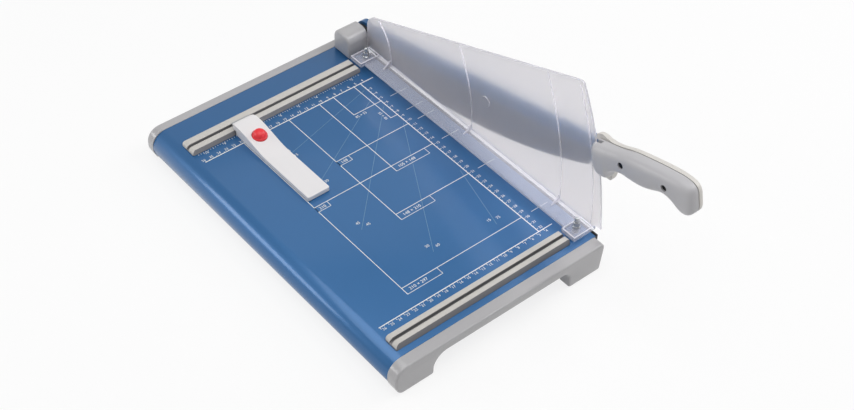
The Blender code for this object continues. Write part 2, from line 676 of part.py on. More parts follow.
def table_top(parent):
    """The blue sheet, folded down at the left, with its weld studs for the end caps."""
    centre = (NOSE_X, -TABLE_NOSE_RADIUS)
    inner_radius = TABLE_NOSE_RADIUS - TABLE_SHEET
    stop = 90 + TABLE_FOLD_DEGREES
    outline = [(TABLE_RIGHT, 0)] + arc(centre, TABLE_NOSE_RADIUS, 90, stop, TABLE_NOSE_STEPS)
    outline += arc(centre, inner_radius, stop, 90, TABLE_NOSE_STEPS)
    outline += [(TABLE_RIGHT, -TABLE_SHEET)]
    sheet = solid("table_top", prism(outline, "Y", FRONT_INNER + FIT_GAP, REAR_INNER - FIT_GAP),
                  FINISHES["blue_paint"], parent)
    stud_end = LEDGE_UNDER - FIT_GAP - CAP_NUT_HEIGHT - STUD_DOME
    join(sheet, *[pin("Z", (x, y), CAP_STUD_DIAMETER, stud_end, -TABLE_SHEET / 2, SCREW_SIDES)
                  for x in CAP_STUD_XS for y in CAP_STUD_YS])
    holes = [((-STUD_X, y), STUD_DIAMETER) for y in STUD_YS]
    holes += [(place, PIVOT_BLOCK_SCREW_DIAMETER) for place in pivot_screw_places()]
    holes += [(place, RAIL_SCREW_DIAMETER) for place in rail_screw_places()]
    cut(sheet, *[screw_hole("Z", place, diameter, -TABLE_SHEET - CUT_OVERRUN, CUT_OVERRUN)
                 for place, diameter in holes])
    return sheet


def rubber_feet(parent):
    """Four rubber discs let into the feet of the caps."""
    low = -BED_HEIGHT - RUBBER_FOOT_SHOWING
    discs = [pin("Z", place, RUBBER_FOOT_DIAMETER, low, low + RUBBER_FOOT_HEIGHT)
             for place in foot_places()]
    return copies("rubber_foot", discs, FINISHES["rubber"], parent)


def end_cap_nuts(parent):
    """Nuts on the weld studs, under the ledges of the end caps."""
    top = LEDGE_UNDER - FIT_GAP
    nuts = [hex_nut("Z", (x, y), CAP_NUT_ACROSS_FLATS, CAP_STUD_DIAMETER, top - CAP_NUT_HEIGHT, top)
            for x in CAP_STUD_XS for y in CAP_STUD_YS]
    return copies("end_cap_nut", nuts, FINISHES["zinc"], parent)


def lower_blade_screw_places():
    """Evenly spaced along the lower blade, at the middle of the bar's free leg."""
    first = FRONT_INNER + LOWER_BLADE_SCREW_MARGIN
    last = REAR_INNER - LOWER_BLADE_BACK_INSET - LOWER_BLADE_SCREW_MARGIN
    step = (last - first) / (LOWER_BLADE_SCREW_COUNT - 1)
    height = (BAR_UNDER - LOWER_BLADE_HEIGHT) / 2
    return [(first + step * n, height) for n in range(LOWER_BLADE_SCREW_COUNT)]


def lower_blade(parent):
    """The fixed knife along the table edge."""
    blade = solid("lower_blade",
                  box((-LOWER_BLADE_THICKNESS, FRONT_INNER + FIT_GAP, -LOWER_BLADE_HEIGHT),
                      (0, REAR_INNER - LOWER_BLADE_BACK_INSET, 0)),
                  FINISHES["blade_steel"], parent)
    cut(blade, *[sunk_hole("X", place, BLADE_SCREW_DIAMETER, BLADE_SCREW_HEAD,
                           BLADE_SCREW_HEAD_DEPTH, 0, -LOWER_BLADE_SCREW_LENGTH)
                 for place in lower_blade_screw_places()])
    return blade


def lower_blade_screws(parent):
    """Countersunk screws that hold the lower blade to the angle bar."""
    screws = [sunk_screw("X", place, BLADE_SCREW_DIAMETER, BLADE_SCREW_HEAD,
                         BLADE_SCREW_HEAD_DEPTH, 0, -LOWER_BLADE_SCREW_LENGTH)
              for place in lower_blade_screw_places()]
    return copies("lower_blade_screw", screws, FINISHES["zinc"], parent)


def angle_bar(parent):
    """The steel angle under the table edge that carries the blade, studs and pivot block."""
    top = SHEET_UNDER
    left = TABLE_RIGHT - BAR_WIDTH
    outline = rounded([
        (TABLE_RIGHT, top, 0), (TABLE_RIGHT, top - BAR_HEIGHT, 0),
        (TABLE_RIGHT - BAR_WALL, top - BAR_HEIGHT, 0),
        (TABLE_RIGHT - BAR_WALL, BAR_UNDER, BAR_WALL / 2),
        (left, BAR_UNDER, 0), (left, top, 0),
    ])
    bar = solid("angle_bar", prism(outline, "Y", FRONT_INNER + FIT_GAP, REAR_INNER - FIT_GAP),
                FINISHES["steel"], parent)
    low = BAR_UNDER - CUT_OVERRUN
    high = top + CUT_OVERRUN
    holes = [screw_hole("X", place, BLADE_SCREW_DIAMETER, TABLE_RIGHT - BAR_WALL - CUT_OVERRUN,
                        TABLE_RIGHT + CUT_OVERRUN) for place in lower_blade_screw_places()]
    holes += [screw_hole("Z", (-STUD_X, y), STUD_DIAMETER, low, high) for y in STUD_YS]
    holes += [screw_hole("Z", place, PIVOT_BLOCK_SCREW_DIAMETER, low, high)
              for place in pivot_screw_places()]
    cut(bar, *holes)
    return bar


def rail_body(name, foot, width, height, slope, groove_at, parent):
    """One ruler rail: two ridges with a groove, ramped at its left end."""
    low = FIT_GAP
    groove = (groove_at - RAIL_GROOVE_WIDTH / 2, groove_at + RAIL_GROOVE_WIDTH / 2)
    floor = height - RAIL_GROOVE_DEPTH
    section = rounded([
        (foot, low, 0), (foot + slope, height, RAIL_EDGE_RADIUS),
        (foot + groove[0], height, RAIL_EDGE_RADIUS), (foot + groove[0], floor, 0),
        (foot + groove[1], floor, 0), (foot + groove[1], height, RAIL_EDGE_RADIUS),
        (foot + width - RAIL_FAR_SLOPE, height, RAIL_EDGE_RADIUS), (foot + width, low, 0),
    ], 2)
    rail = solid(name, prism(section, "X", -RAIL_REACH_LEFT, -RAIL_INSET_RIGHT),
                 FINISHES["grey_plastic"], parent)
    ramp = min(RAIL_LEFT_RAMP, height - low)
    side = rounded([
        (-RAIL_REACH_LEFT, low - CUT_OVERRUN, 0), (-RAIL_REACH_LEFT, height, ramp),
        (-RAIL_INSET_RIGHT, height, RAIL_RIGHT_RADIUS), (-RAIL_INSET_RIGHT, low - CUT_OVERRUN, 0),
    ])
    combine(rail, [prism(side, "Y", foot - CUT_OVERRUN, foot + width + CUT_OVERRUN)], "INTERSECT")
    cut(rail, *[screw_hole("Z", (x, y), RAIL_SCREW_DIAMETER, low - CUT_OVERRUN,
                           RAIL_SCREW_BITE + FIT_GAP)
                for x, y in rail_screw_places() if foot < y < foot + width])
    return rail


def rail_screw_places():
    """Under the wider ridge of each rail, evenly spaced."""
    first = -RAIL_REACH_LEFT + RAIL_SCREW_MARGIN
    step = (RAIL_REACH_LEFT - RAIL_INSET_RIGHT - 2 * RAIL_SCREW_MARGIN) / (RAIL_SCREW_COUNT - 1)
    back = (BACK_RAIL_GROOVE_AT + RAIL_GROOVE_WIDTH / 2 + BACK_RAIL_WIDTH) / 2
    front = FRONT_RAIL_FOOT + (FRONT_RAIL_SLOPE + FRONT_RAIL_GROOVE_AT - RAIL_GROOVE_WIDTH / 2) / 2
    return [(first + step * n, y) for n in range(RAIL_SCREW_COUNT) for y in (back, front)]


def rail_screws(parent):
    """Screws from under the sheet into both rails."""
    screws = [headed_screw("Z", place, RAIL_SCREW_DIAMETER, RAIL_SCREW_HEAD,
                           RAIL_SCREW_HEAD_HEIGHT, -TABLE_SHEET, TABLE_SHEET + RAIL_SCREW_BITE)
              for place in rail_screw_places()]
    return copies("rail_screw", screws, FINISHES["zinc"], parent)


def pivot_cover_outline(inset, low):
    """The side view of the pivot cover, drawn in by an inset."""
    radius = PIVOT_COVER_RADIUS - inset
    front = PIVOT_COVER_FRONT + inset
    back = PIVOT_COVER_FRONT + PIVOT_COVER_DEPTH - inset
    top = PIVOT_COVER_HEIGHT - inset
    return rounded([(front, low, 0), (front, top, radius), (back, top, radius), (back, low, 0)])


def pivot_cover(parent):
    """The grey moulded cover over the pivot block, open below and towards the arm."""
    right = -PIVOT_COVER_INSET
    left = right - PIVOT_COVER_LENGTH
    bm = prism(pivot_cover_outline(0, FIT_GAP), "X", right, left)
    soften_end(bm, "X", left, PIVOT_COVER_FACE_RADIUS, CAP_FACE_STEPS)
    cover = solid("pivot_cover", bm, FINISHES["grey_plastic"], parent)
    hollow = prism(pivot_cover_outline(PIVOT_COVER_WALL, -CUT_OVERRUN), "X",
                         left + PIVOT_COVER_WALL, right + CUT_OVERRUN)
    cut(cover, hollow)
    return cover


def pivot_screw_places():
    """Two screws under the pivot block, one behind the other."""
    x = -(PIVOT_COVER_INSET + PIVOT_COVER_LENGTH / 2)
    middle = PIVOT_COVER_FRONT + PIVOT_COVER_DEPTH / 2
    half = PIVOT_BLOCK_SCREW_SPACING / 2
    return [(x, middle - half), (x, middle + half)]


def pivot_block(parent):
    """The steel block inside the cover that holds the pivot pin."""
    inset = PIVOT_COVER_WALL + FIT_GAP
    right = -PIVOT_COVER_INSET
    left = right - PIVOT_COVER_LENGTH + inset
    block = solid("pivot_block", prism(pivot_cover_outline(inset, FIT_GAP), "X", left, right),
                  FINISHES["black_steel"], parent)
    cut(block, pin("X", (PIVOT_Y, PIVOT_Z), PIVOT_PIN_DIAMETER + 2 * FIT_GAP,
                   -(PIVOT_PIN_BITE + FIT_GAP), CUT_OVERRUN))
    cut(block, *[screw_hole("Z", place, PIVOT_BLOCK_SCREW_DIAMETER, -CUT_OVERRUN,
                            PIVOT_BLOCK_SCREW_BITE + FIT_GAP) for place in pivot_screw_places()])
    return block


def pivot_block_screws(parent):
    """Screws that pull the pivot block down on the table and the angle bar."""
    screws = [headed_screw("Z", place, PIVOT_BLOCK_SCREW_DIAMETER, PIVOT_BLOCK_SCREW_HEAD,
                           PIVOT_BLOCK_SCREW_HEAD_HEIGHT, BAR_UNDER,
                           PIVOT_BLOCK_SCREW_BITE - BAR_UNDER)
              for place in pivot_screw_places()]
    return copies("pivot_block_screw", screws, FINISHES["zinc"], parent)


def pivot_stack():
    """Where the pieces along the pivot pin start and end, outward from the arm."""
    spring_start = ARM_OUTER + FIT_GAP
    spring_end = spring_start + SPRING_WASHER_THICKNESS + SPRING_WASHER_CONE
    nut_start = spring_end + FIT_GAP
    return spring_start, nut_start, nut_start + PIVOT_NUT_HEIGHT


def pivot_pin(parent):
    """The stud that the arm turns on."""
    end = pivot_stack()[2] + PIVOT_PIN_TAIL
    bm = domed_pin("X", (PIVOT_Y, PIVOT_Z), PIVOT_PIN_DIAMETER, -PIVOT_PIN_BITE, end,
                   PIVOT_PIN_DOME)
    return solid("pivot_pin", bm, FINISHES["steel"], parent)


def friction_washer(parent):
    """The black washer between the pivot block and the arm, which holds the arm up."""
    bm = ring("X", (PIVOT_Y, PIVOT_Z), FRICTION_WASHER_DIAMETER,
              PIVOT_PIN_DIAMETER + 2 * FIT_GAP, -PIVOT_COVER_INSET + FIT_GAP,
              ARM_FACE - FIT_GAP)
    return solid("friction_washer", bm, FINISHES["black_plastic"], parent)


def spring_washer(parent):
    """The dished washer that presses the arm against the friction washer."""
    start = pivot_stack()[0]
    inner = PIVOT_PIN_DIAMETER / 2 + FIT_GAP
    outer = SPRING_WASHER_DIAMETER / 2
    lift = SPRING_WASHER_CONE
    profile = [(outer, start), (inner, start + lift),
               (inner, start + lift + SPRING_WASHER_THICKNESS),
               (outer, start + SPRING_WASHER_THICKNESS)]
    return solid("spring_washer", turned(profile, "X", (PIVOT_Y, PIVOT_Z), closed=True),
                 FINISHES["steel"], parent)


def pivot_nut(parent):
    """The nut that sets how stiff the arm turns."""
    stack = pivot_stack()
    bm = hex_nut("X", (PIVOT_Y, PIVOT_Z), PIVOT_NUT_ACROSS_FLATS, PIVOT_PIN_DIAMETER,
                 stack[1], stack[2])
    return solid("pivot_nut", bm, FINISHES["zinc"], parent)


def clamp_studs(parent):
    """Two studs that the clear guard slides on."""
    bottom = BAR_UNDER - FIT_GAP - STUD_NUT_HEIGHT - STUD_TAIL
    studs = [domed_pin("Z", (-STUD_X, y), STUD_DIAMETER, bottom, STUD_TOP, STUD_DOME)
             for y in STUD_YS]
    return copies("clamp_stud", studs, FINISHES["chrome"], parent)


def clamp_stop_nuts(parent):
    """Flanged collar nuts on the studs; the raised clamp rests against their flanges."""
    low = BLOCK_FLOOR + FIT_GAP
    inner = STUD_DIAMETER / 2 + FIT_GAP
    flange = STOP_NUT_FLANGE_DIAMETER / 2
    body = STOP_NUT_DIAMETER / 2
    profile = [(inner, low), (flange, low), (flange, low + STOP_NUT_FLANGE),
               (body, low + 2 * STOP_NUT_FLANGE), (body, low + STOP_NUT_HEIGHT),
               (inner, low + STOP_NUT_HEIGHT)]
    nuts = [turned(profile, "Z", (-STUD_X, y), SCREW_SIDES, closed=True) for y in STUD_YS]
    return copies("clamp_stop_nut", nuts, FINISHES["chrome"], parent)


def clamp_stud_nuts(parent):
    """Nuts under the angle bar that hold the studs."""
    top = BAR_UNDER - FIT_GAP
    nuts = [hex_nut("Z", (-STUD_X, y), STUD_NUT_ACROSS_FLATS, STUD_DIAMETER,
                    top - STUD_NUT_HEIGHT, top) for y in STUD_YS]
    return copies("clamp_stud_nut", nuts, FINISHES["zinc"], parent)


def clamp_springs(parent):
    """Conical springs that lift the guard off the paper."""
    top = CLAMP_LIFT + CLAMP_SPRING_SEAT
    made = []
    for name, y in zip(("clamp_spring_rear", "clamp_spring_front"), STUD_YS):
        made.append(coil(name, (-STUD_X, y), FIT_GAP, top - FIT_GAP, CLAMP_SPRING_FOOT_DIAMETER,
                         CLAMP_SPRING_TOP_DIAMETER, CLAMP_SPRING_WIRE, CLAMP_SPRING_TURNS,
                         FINISHES["steel"], parent))
    return made


def guard_top(y):
    """Height of the guard's sloping top edge at a place along the table."""
    return GUARD_TOP_AT_BACK + (GUARD_BACK - y) * tan(radians(GUARD_TOP_SLOPE_DEGREES))


def guard_nose():
    """The curved front edge of the guard, from its low end to where it meets the top edge."""
    low = GUARD_RIM_HEIGHT - PIVOT_Z
    start = atan2(low, GUARD_NOSE_RADIUS)
    end = 0.0
    for _ in range(12):
        radius = GUARD_NOSE_TOP_RADIUS
        y = PIVOT_Y - radius * cos(end)
        end = atan2(guard_top(y) - PIVOT_Z, PIVOT_Y - y)
    points = []
    for step in range(GUARD_NOSE_STEPS + 1):
        share = step / GUARD_NOSE_STEPS
        angle = start + (end - start) * share
        radius = GUARD_NOSE_RADIUS - GUARD_NOSE_TAPER * share ** GUARD_NOSE_TAPER_POWER_SHARE
        points.append((PIVOT_Y - radius * cos(angle), PIVOT_Z + radius * sin(angle)))
    return points


def soft_corner(before, corner, after, size, steps=ARC_STEPS):
    """A corner of an outline rounded over a given size."""
    corner = Vector(corner)
    first = corner + (Vector(before) - corner).normalized() * size
    last = corner + (Vector(after) - corner).normalized() * size
    points = []
    for step in range(steps + 1):
        t = step / steps
        spot = first.lerp(corner, t).lerp(corner.lerp(last, t), t)
        points.append(tuple(spot))
    return points


def guard_outline():
    """The side view of the clear wall: a fan about the arm's pivot."""
    nose = guard_nose()
    back_top = (GUARD_BACK, guard_top(GUARD_BACK))
    front_top = nose[-1]
    inside = [point for point in nose
              if hypot(point[0] - front_top[0], point[1] - front_top[1]) > 2 * GUARD_NOSE_CORNER]
    outline = [(GUARD_BACK, CLAMP_TOP - WELD_OVERLAP)]
    outline += soft_corner(outline[0], back_top, front_top, GUARD_BACK_RADIUS)
    outline += soft_corner(back_top, front_top, inside[-1], GUARD_NOSE_CORNER)
    outline += inside[::-1]
    outline += [(-CLAMP_FRONT, GUARD_RIM_HEIGHT), (-CLAMP_FRONT, CLAMP_TOP - WELD_OVERLAP)]
    return outline


def band(inner, outer, low, high_limit, steps):
    """An arc-shaped band of the guard about the pivot, from a height up to the top edge."""
    points = []
    for radius in (inner, outer):
        start = atan2(low - PIVOT_Z, radius)
        end = start
        for _ in range(12):
            y = PIVOT_Y - radius * cos(end)
            wanted = (guard_top(y) - high_limit - PIVOT_Z) / radius
            end = atan2(wanted, sqrt(max(1 - wanted * wanted, wanted * wanted)))
        side = []
        for step in range(steps + 1):
            angle = start + (end - start) * step / steps
            side.append((PIVOT_Y - radius * cos(angle), PIVOT_Z + radius * sin(angle)))
        points += side if radius == inner else side[::-1]
    return points


def clamp_guard(parent):
    """The clear moulding: clamp strip, end blocks, guard wall, ribs and gussets."""
    right = -GUARD_STANDOFF
    wall = prism(guard_outline(), "X", GUARD_FACE, right)
    guard = solid("clamp_guard", wall, FINISHES["clear_plastic"], parent)
    join(guard, box((-CLAMP_WIDTH, -CLAMP_FRONT, CLAMP_LIFT), (right, CLAMP_BACK, CLAMP_TOP)))
    block_top = CLAMP_LIFT + CLAMP_BLOCK_HEIGHT
    blocks = ((CLAMP_BACK - CLAMP_BLOCK_DEPTH, CLAMP_BACK),
              (-CLAMP_FRONT, -CLAMP_FRONT + CLAMP_BLOCK_DEPTH))
    join(guard, *[box((-CLAMP_BLOCK_WIDTH, low_y, CLAMP_LIFT),
                      (GUARD_FACE + WELD_OVERLAP, high_y, block_top)) for low_y, high_y in blocks])
    rim_inner = GUARD_NOSE_RADIUS - GUARD_RIM_WIDTH
    join(guard, prism(band(rim_inner, rim_inner + GUARD_RIB_WIDTH, GUARD_RIM_HEIGHT,
                           GUARD_NOSE_CORNER, GUARD_RIB_STEPS), "X",
                      GUARD_FACE - GUARD_RIM_PROUD, GUARD_FACE + WELD_OVERLAP))
    last = GUARD_NOSE_RADIUS - GUARD_RIB_LAST_INSET
    radii = [GUARD_RIB_FIRST + (last - GUARD_RIB_FIRST) * number / (GUARD_RIB_COUNT - 1)
             for number in range(GUARD_RIB_COUNT)]
    join(guard, *[prism(band(radius, radius + GUARD_RIB_WIDTH, CLAMP_TOP - WELD_OVERLAP,
                             GUARD_RIB_WIDTH, GUARD_RIB_STEPS), "X",
                        GUARD_FACE - GUARD_RIB_PROUD, GUARD_FACE + WELD_OVERLAP)
                  for radius in radii])
    join(guard, *[gusset(PIVOT_Y - radius - GUARD_RIB_WIDTH / 2) for radius in radii])
    cut(guard, *[box((-CLAMP_BLOCK_WIDTH + CLAMP_BLOCK_WALL, low_y + CLAMP_BLOCK_WALL,
                      BLOCK_FLOOR),
                     (GUARD_FACE - CLAMP_BLOCK_WALL, high_y - CLAMP_BLOCK_WALL,
                      block_top + CUT_OVERRUN)) for low_y, high_y in blocks])
    cut(guard, *[stepped_hole("Z", (-STUD_X, y), STUD_DIAMETER, CLAMP_SPRING_FOOT_DIAMETER,
                              CLAMP_LIFT - CUT_OVERRUN, CLAMP_LIFT + CLAMP_SPRING_SEAT,
                              block_top + CUT_OVERRUN) for y in STUD_YS])
    join(guard, pin("X", (GUARD_GATE_LEAD - CLAMP_FRONT, GUARD_GATE_Z), GUARD_GATE_DIAMETER,
                    GUARD_FACE - GUARD_RIB_PROUD, GUARD_FACE + WELD_OVERLAP, SCREW_SIDES))
    return guard


def gusset(y):
    """A small web that props the guard wall on the clamp strip."""
    low = CLAMP_TOP - WELD_OVERLAP
    outline = [(GUARD_FACE + WELD_OVERLAP, low), (GUARD_FACE + WELD_OVERLAP, low + GUSSET_RISE),
               (GUARD_FACE, low + GUSSET_RISE), (GUARD_FACE - GUSSET_REACH, low)]
    return prism(outline, "Y", y - GUSSET_THICKNESS / 2, y + GUSSET_THICKNESS / 2)


def arm_point(reach, height):
    """A point of the closed arm, in its empty's own frame: Y back, Z up."""
    return -reach, height


def upper_blade(parent):
    """The knife of the arm, with its curved cutting edge."""
    edge = []
    for step in range(UPPER_BLADE_EDGE_STEPS + 1):
        share = step / UPPER_BLADE_EDGE_STEPS
        reach = UPPER_BLADE_START + (UPPER_BLADE_END - UPPER_BLADE_START) * share
        aside = reach - UPPER_BLADE_EDGE_MIDDLE
        rise = UPPER_BLADE_EDGE_RADIUS - sqrt(UPPER_BLADE_EDGE_RADIUS ** 2 - aside ** 2)
        edge.append(arm_point(reach, rise - UPPER_BLADE_EDGE_DROP))
    outline = edge + [arm_point(UPPER_BLADE_END, UPPER_BLADE_TOP),
                      arm_point(UPPER_BLADE_START, UPPER_BLADE_TOP)]
    blade = solid("upper_blade", prism(outline, "X", BLADE_RUNNING_GAP,
                                       BLADE_RUNNING_GAP + UPPER_BLADE_THICKNESS),
                  FINISHES["blade_steel"], parent)
    cut(blade, *[sunk_hole("X", place, BLADE_SCREW_DIAMETER, BLADE_SCREW_HEAD,
                           BLADE_SCREW_HEAD_DEPTH, BLADE_RUNNING_GAP, upper_screw_length())
                 for place in upper_blade_screw_places()])
    return blade


def upper_blade_screw_places():
    """Evenly spaced along the upper blade."""
    first = UPPER_BLADE_START + UPPER_BLADE_SCREW_MARGIN
    last = UPPER_BLADE_END - UPPER_BLADE_SCREW_MARGIN
    step = (last - first) / (UPPER_BLADE_SCREW_COUNT - 1)
    return [arm_point(first + step * n, UPPER_BLADE_SCREW_W)
            for n in range(UPPER_BLADE_SCREW_COUNT)]


def upper_screw_length():
    """Through the blade, the web and the nut."""
    return UPPER_BLADE_THICKNESS + ARM_WEB + UPPER_BLADE_NUT_HEIGHT + 4 * FIT_GAP


def upper_blade_screws(parent):
    """Countersunk screws through the upper blade and the arm."""
    screws = [sunk_screw("X", place, BLADE_SCREW_DIAMETER, BLADE_SCREW_HEAD,
                         BLADE_SCREW_HEAD_DEPTH, BLADE_RUNNING_GAP, upper_screw_length())
              for place in upper_blade_screw_places()]
    return copies("upper_blade_screw", screws, FINISHES["zinc"], parent)


def upper_blade_nuts(parent):
    """Nuts in the channel of the arm."""
    start = ARM_FACE + ARM_WEB + FIT_GAP
    nuts = [hex_nut("X", place, UPPER_BLADE_NUT_ACROSS_FLATS, BLADE_SCREW_DIAMETER, start,
                    start + UPPER_BLADE_NUT_HEIGHT) for place in upper_blade_screw_places()]
    return copies("upper_blade_nut", nuts, FINISHES["zinc"], parent)


def arm_outline(inset):
    """The side view of the arm's channel: a long bar with a round rear end."""
    radius = ARM_TOP - inset
    end = ARM_END - inset
    under = -ARM_BOTTOM + inset
    round_end = arc((0, 0), radius, 90, -90, ROUND_SIDES // 2)
    neck = radius + ARM_TOP
    outline = [arm_point(end, radius), arm_point(0, radius)]
    outline += [(a, b) for a, b in round_end[1:-1]]
    outline += [arm_point(0, -radius), arm_point(neck, under), arm_point(end, under)]
    return outline


def blade_arm(parent):
    """The pressed blue arm: a web with a flange all round, a pivot boss and a tang."""
    channel = prism(arm_outline(0), "X", ARM_FACE, ARM_OUTER)
    arm = solid("blade_arm", channel, FINISHES["blue_paint"], parent)
    cut(arm, prism(arm_outline(ARM_FLANGE), "X", ARM_FACE + ARM_WEB, ARM_OUTER + CUT_OVERRUN))
    tang = rounded([
        (*arm_point(ARM_END - 2 * ARM_FLANGE, ARM_TANG_TOP - WELD_OVERLAP), 0),
        (*arm_point(ARM_TANG_END, ARM_TANG_TOP - WELD_OVERLAP), ARM_TANG_RADIUS),
        (*arm_point(ARM_TANG_END, ARM_TANG_BOTTOM), ARM_TANG_RADIUS),
        (*arm_point(ARM_END - 2 * ARM_FLANGE, ARM_TANG_BOTTOM), 0),
    ])
    join(arm, prism(tang, "X", ARM_FACE, ARM_FACE + ARM_WEB))
    join(arm, pin("X", (0, 0), ARM_BOSS_DIAMETER, ARM_FACE + ARM_WEB - WELD_OVERLAP, ARM_OUTER))
    bush = PIVOT_PIN_DIAMETER + 2 * PIVOT_BUSH_WALL + 4 * FIT_GAP
    through = (ARM_FACE - CUT_OVERRUN, ARM_FACE + ARM_WEB + CUT_OVERRUN)
    holes = [screw_hole("X", place, BLADE_SCREW_DIAMETER, *through)
             for place in upper_blade_screw_places()]
    holes += [screw_hole("X", arm_point(reach, HANDLE_SCREW_HEIGHT), HANDLE_SCREW_DIAMETER,
                         *through) for reach in HANDLE_SCREW_REACHES]
    cut(arm, pin("X", (0, 0), bush, ARM_FACE - CUT_OVERRUN, ARM_OUTER + CUT_OVERRUN), *holes)
    return arm


def pivot_bush(parent):
    """The bronze bush pressed into the arm."""
    inner = PIVOT_PIN_DIAMETER + 2 * FIT_GAP
    outer = inner + 2 * PIVOT_BUSH_WALL
    bm = ring("X", (0, 0), outer, inner, ARM_FACE, ARM_OUTER)
    return solid("pivot_bush", bm, FINISHES["bronze"], parent)


def handle_half(name, side, start, width, bump, drop, parent):
    """One moulded half of the handle, lofted through its sections from the seam outward."""
    bm = bmesh.new()
    loops = []
    first_share = (start - HANDLE_START) / HANDLE_LENGTH
    for along, top, bottom, wide, swell, sink in HANDLE_SECTION_SHARES:
        reach = HANDLE_START + HANDLE_LENGTH * (first_share + along * (1 - first_share))
        high = HANDLE_HEIGHT * top + bump * swell
        low = HANDLE_HEIGHT * bottom - drop * sink
        middle = (high + low) / 2
        half = (high - low) / 2
        verts = []
        for index in range(HANDLE_SECTION_POINTS):
            angle = pi / 2 - pi * index / (HANDLE_SECTION_POINTS - 1)
            power = HANDLE_TOP_SQUARENESS_SHARE if angle > 0 else HANDLE_BOTTOM_SQUARENESS_SHARE
            out = max(cos(angle), 0) ** power
            up = abs(sin(angle)) ** power
            up = up if angle > 0 else -up
            seam = SEAM_X if side > 0 else SEAM_X - FIT_GAP
            y, z = arm_point(reach, middle + half * up)
            verts.append(bm.verts.new((seam + side * width * wide * out, y, z)))
        loops.append(verts)
    for one, other in zip(loops, loops[1:]):
        for index in range(HANDLE_SECTION_POINTS):
            after = (index + 1) % HANDLE_SECTION_POINTS
            bm.faces.new((one[index], one[after], other[after], other[index]))
    bm.faces.new(loops[0])
    bm.faces.new(loops[-1])
    bmesh.ops.triangulate(bm, faces=bm.faces)
    return solid(name, bm, FINISHES["handle_plastic"], parent)


def handle_front_half(parent):
    """The half on the user's side, slotted for the guard's rim, with two sunk screw holes."""
    half = handle_half("handle_front_half", -1, HANDLE_START, HANDLE_FRONT_WIDTH, 0, 0,
                       parent)
    outer = SEAM_X - HANDLE_FRONT_WIDTH
    slot_left = GUARD_FACE - GUARD_RIM_PROUD - RIM_SLOT_CLEARANCE
    slot_end = GUARD_NOSE_RADIUS + 3 * RIM_SLOT_CLEARANCE
    tall = HANDLE_HEIGHT + CUT_OVERRUN
    cut(half, box((slot_left, -slot_end, -tall),
                  (BLADE_RUNNING_GAP, -HANDLE_START + CUT_OVERRUN, tall)))
    cut(half, *[stepped_hole("X", arm_point(reach, HANDLE_SCREW_HEIGHT), HANDLE_SCREW_DIAMETER,
                             HANDLE_SCREW_HEAD, outer - CUT_OVERRUN, outer + HANDLE_SCREW_SINK,
                             SEAM_X + CUT_OVERRUN) for reach in HANDLE_SCREW_REACHES])
    return half


def handle_rear_half(parent):
    """The half on the far side, with the pocket for the tang and bores for the screws."""
    half = handle_half("handle_rear_half", 1, HANDLE_REAR_START, HANDLE_REAR_WIDTH, HANDLE_BUMP,
                       HANDLE_STOP_DROP, parent)
    gap = 2 * FIT_GAP
    cut(half, box((SEAM_X - CUT_OVERRUN, -(ARM_TANG_END + gap), ARM_TANG_BOTTOM - gap),
                  (ARM_FACE + ARM_WEB + FIT_GAP, -HANDLE_REAR_START + CUT_OVERRUN,
                   ARM_TANG_TOP + gap)))
    cut(half, *[screw_hole("X", arm_point(reach, HANDLE_SCREW_HEIGHT), HANDLE_SCREW_DIAMETER,
                           SEAM_X - CUT_OVERRUN, HANDLE_SCREW_END + FIT_GAP)
                for reach in HANDLE_SCREW_REACHES])
    return half


def handle_screws(parent):
    """Two dark screws through both halves and the tang."""
    seat = SEAM_X - HANDLE_FRONT_WIDTH + HANDLE_SCREW_SINK
    screws = [headed_screw("X", arm_point(reach, HANDLE_SCREW_HEIGHT), HANDLE_SCREW_DIAMETER,
                           HANDLE_SCREW_HEAD, HANDLE_SCREW_HEAD_HEIGHT, seat,
                           HANDLE_SCREW_END - seat)
              for reach in HANDLE_SCREW_REACHES]
    return copies("handle_screw", screws, FINISHES["black_steel"], parent)


def gauge_outline():
    """The side view of the back gauge: a flat bar that rises into a hump over the rail."""
    low = 2 * FIT_GAP
    front = -GAUGE_REACH_FRONT
    rail_front = -3 * FIT_GAP
    over_rail = BACK_RAIL_HEIGHT + 3 * FIT_GAP
    rise = []
    for step in range(GAUGE_CURVE_STEPS + 1):
        share = step / GAUGE_CURVE_STEPS
        y = -GAUGE_WAIST_AT + (GAUGE_WAIST_AT - GAUGE_HUMP_AT) * share
        ease = share ** 2 * (3 - 2 * share)
        rise.append((y, GAUGE_WAIST_HEIGHT + (GAUGE_HUMP_HEIGHT - GAUGE_WAIST_HEIGHT) * ease))
    end_top = (GAUGE_REACH_BACK, GAUGE_HUMP_HEIGHT)
    end_low = (GAUGE_REACH_BACK, over_rail)
    outline = [(front, low), (front, GAUGE_FRONT_HEIGHT)] + rise
    outline += soft_corner(rise[-1], end_top, end_low, GAUGE_END_RADIUS)
    outline += [end_low, (rail_front, over_rail), (rail_front, low)]
    return outline


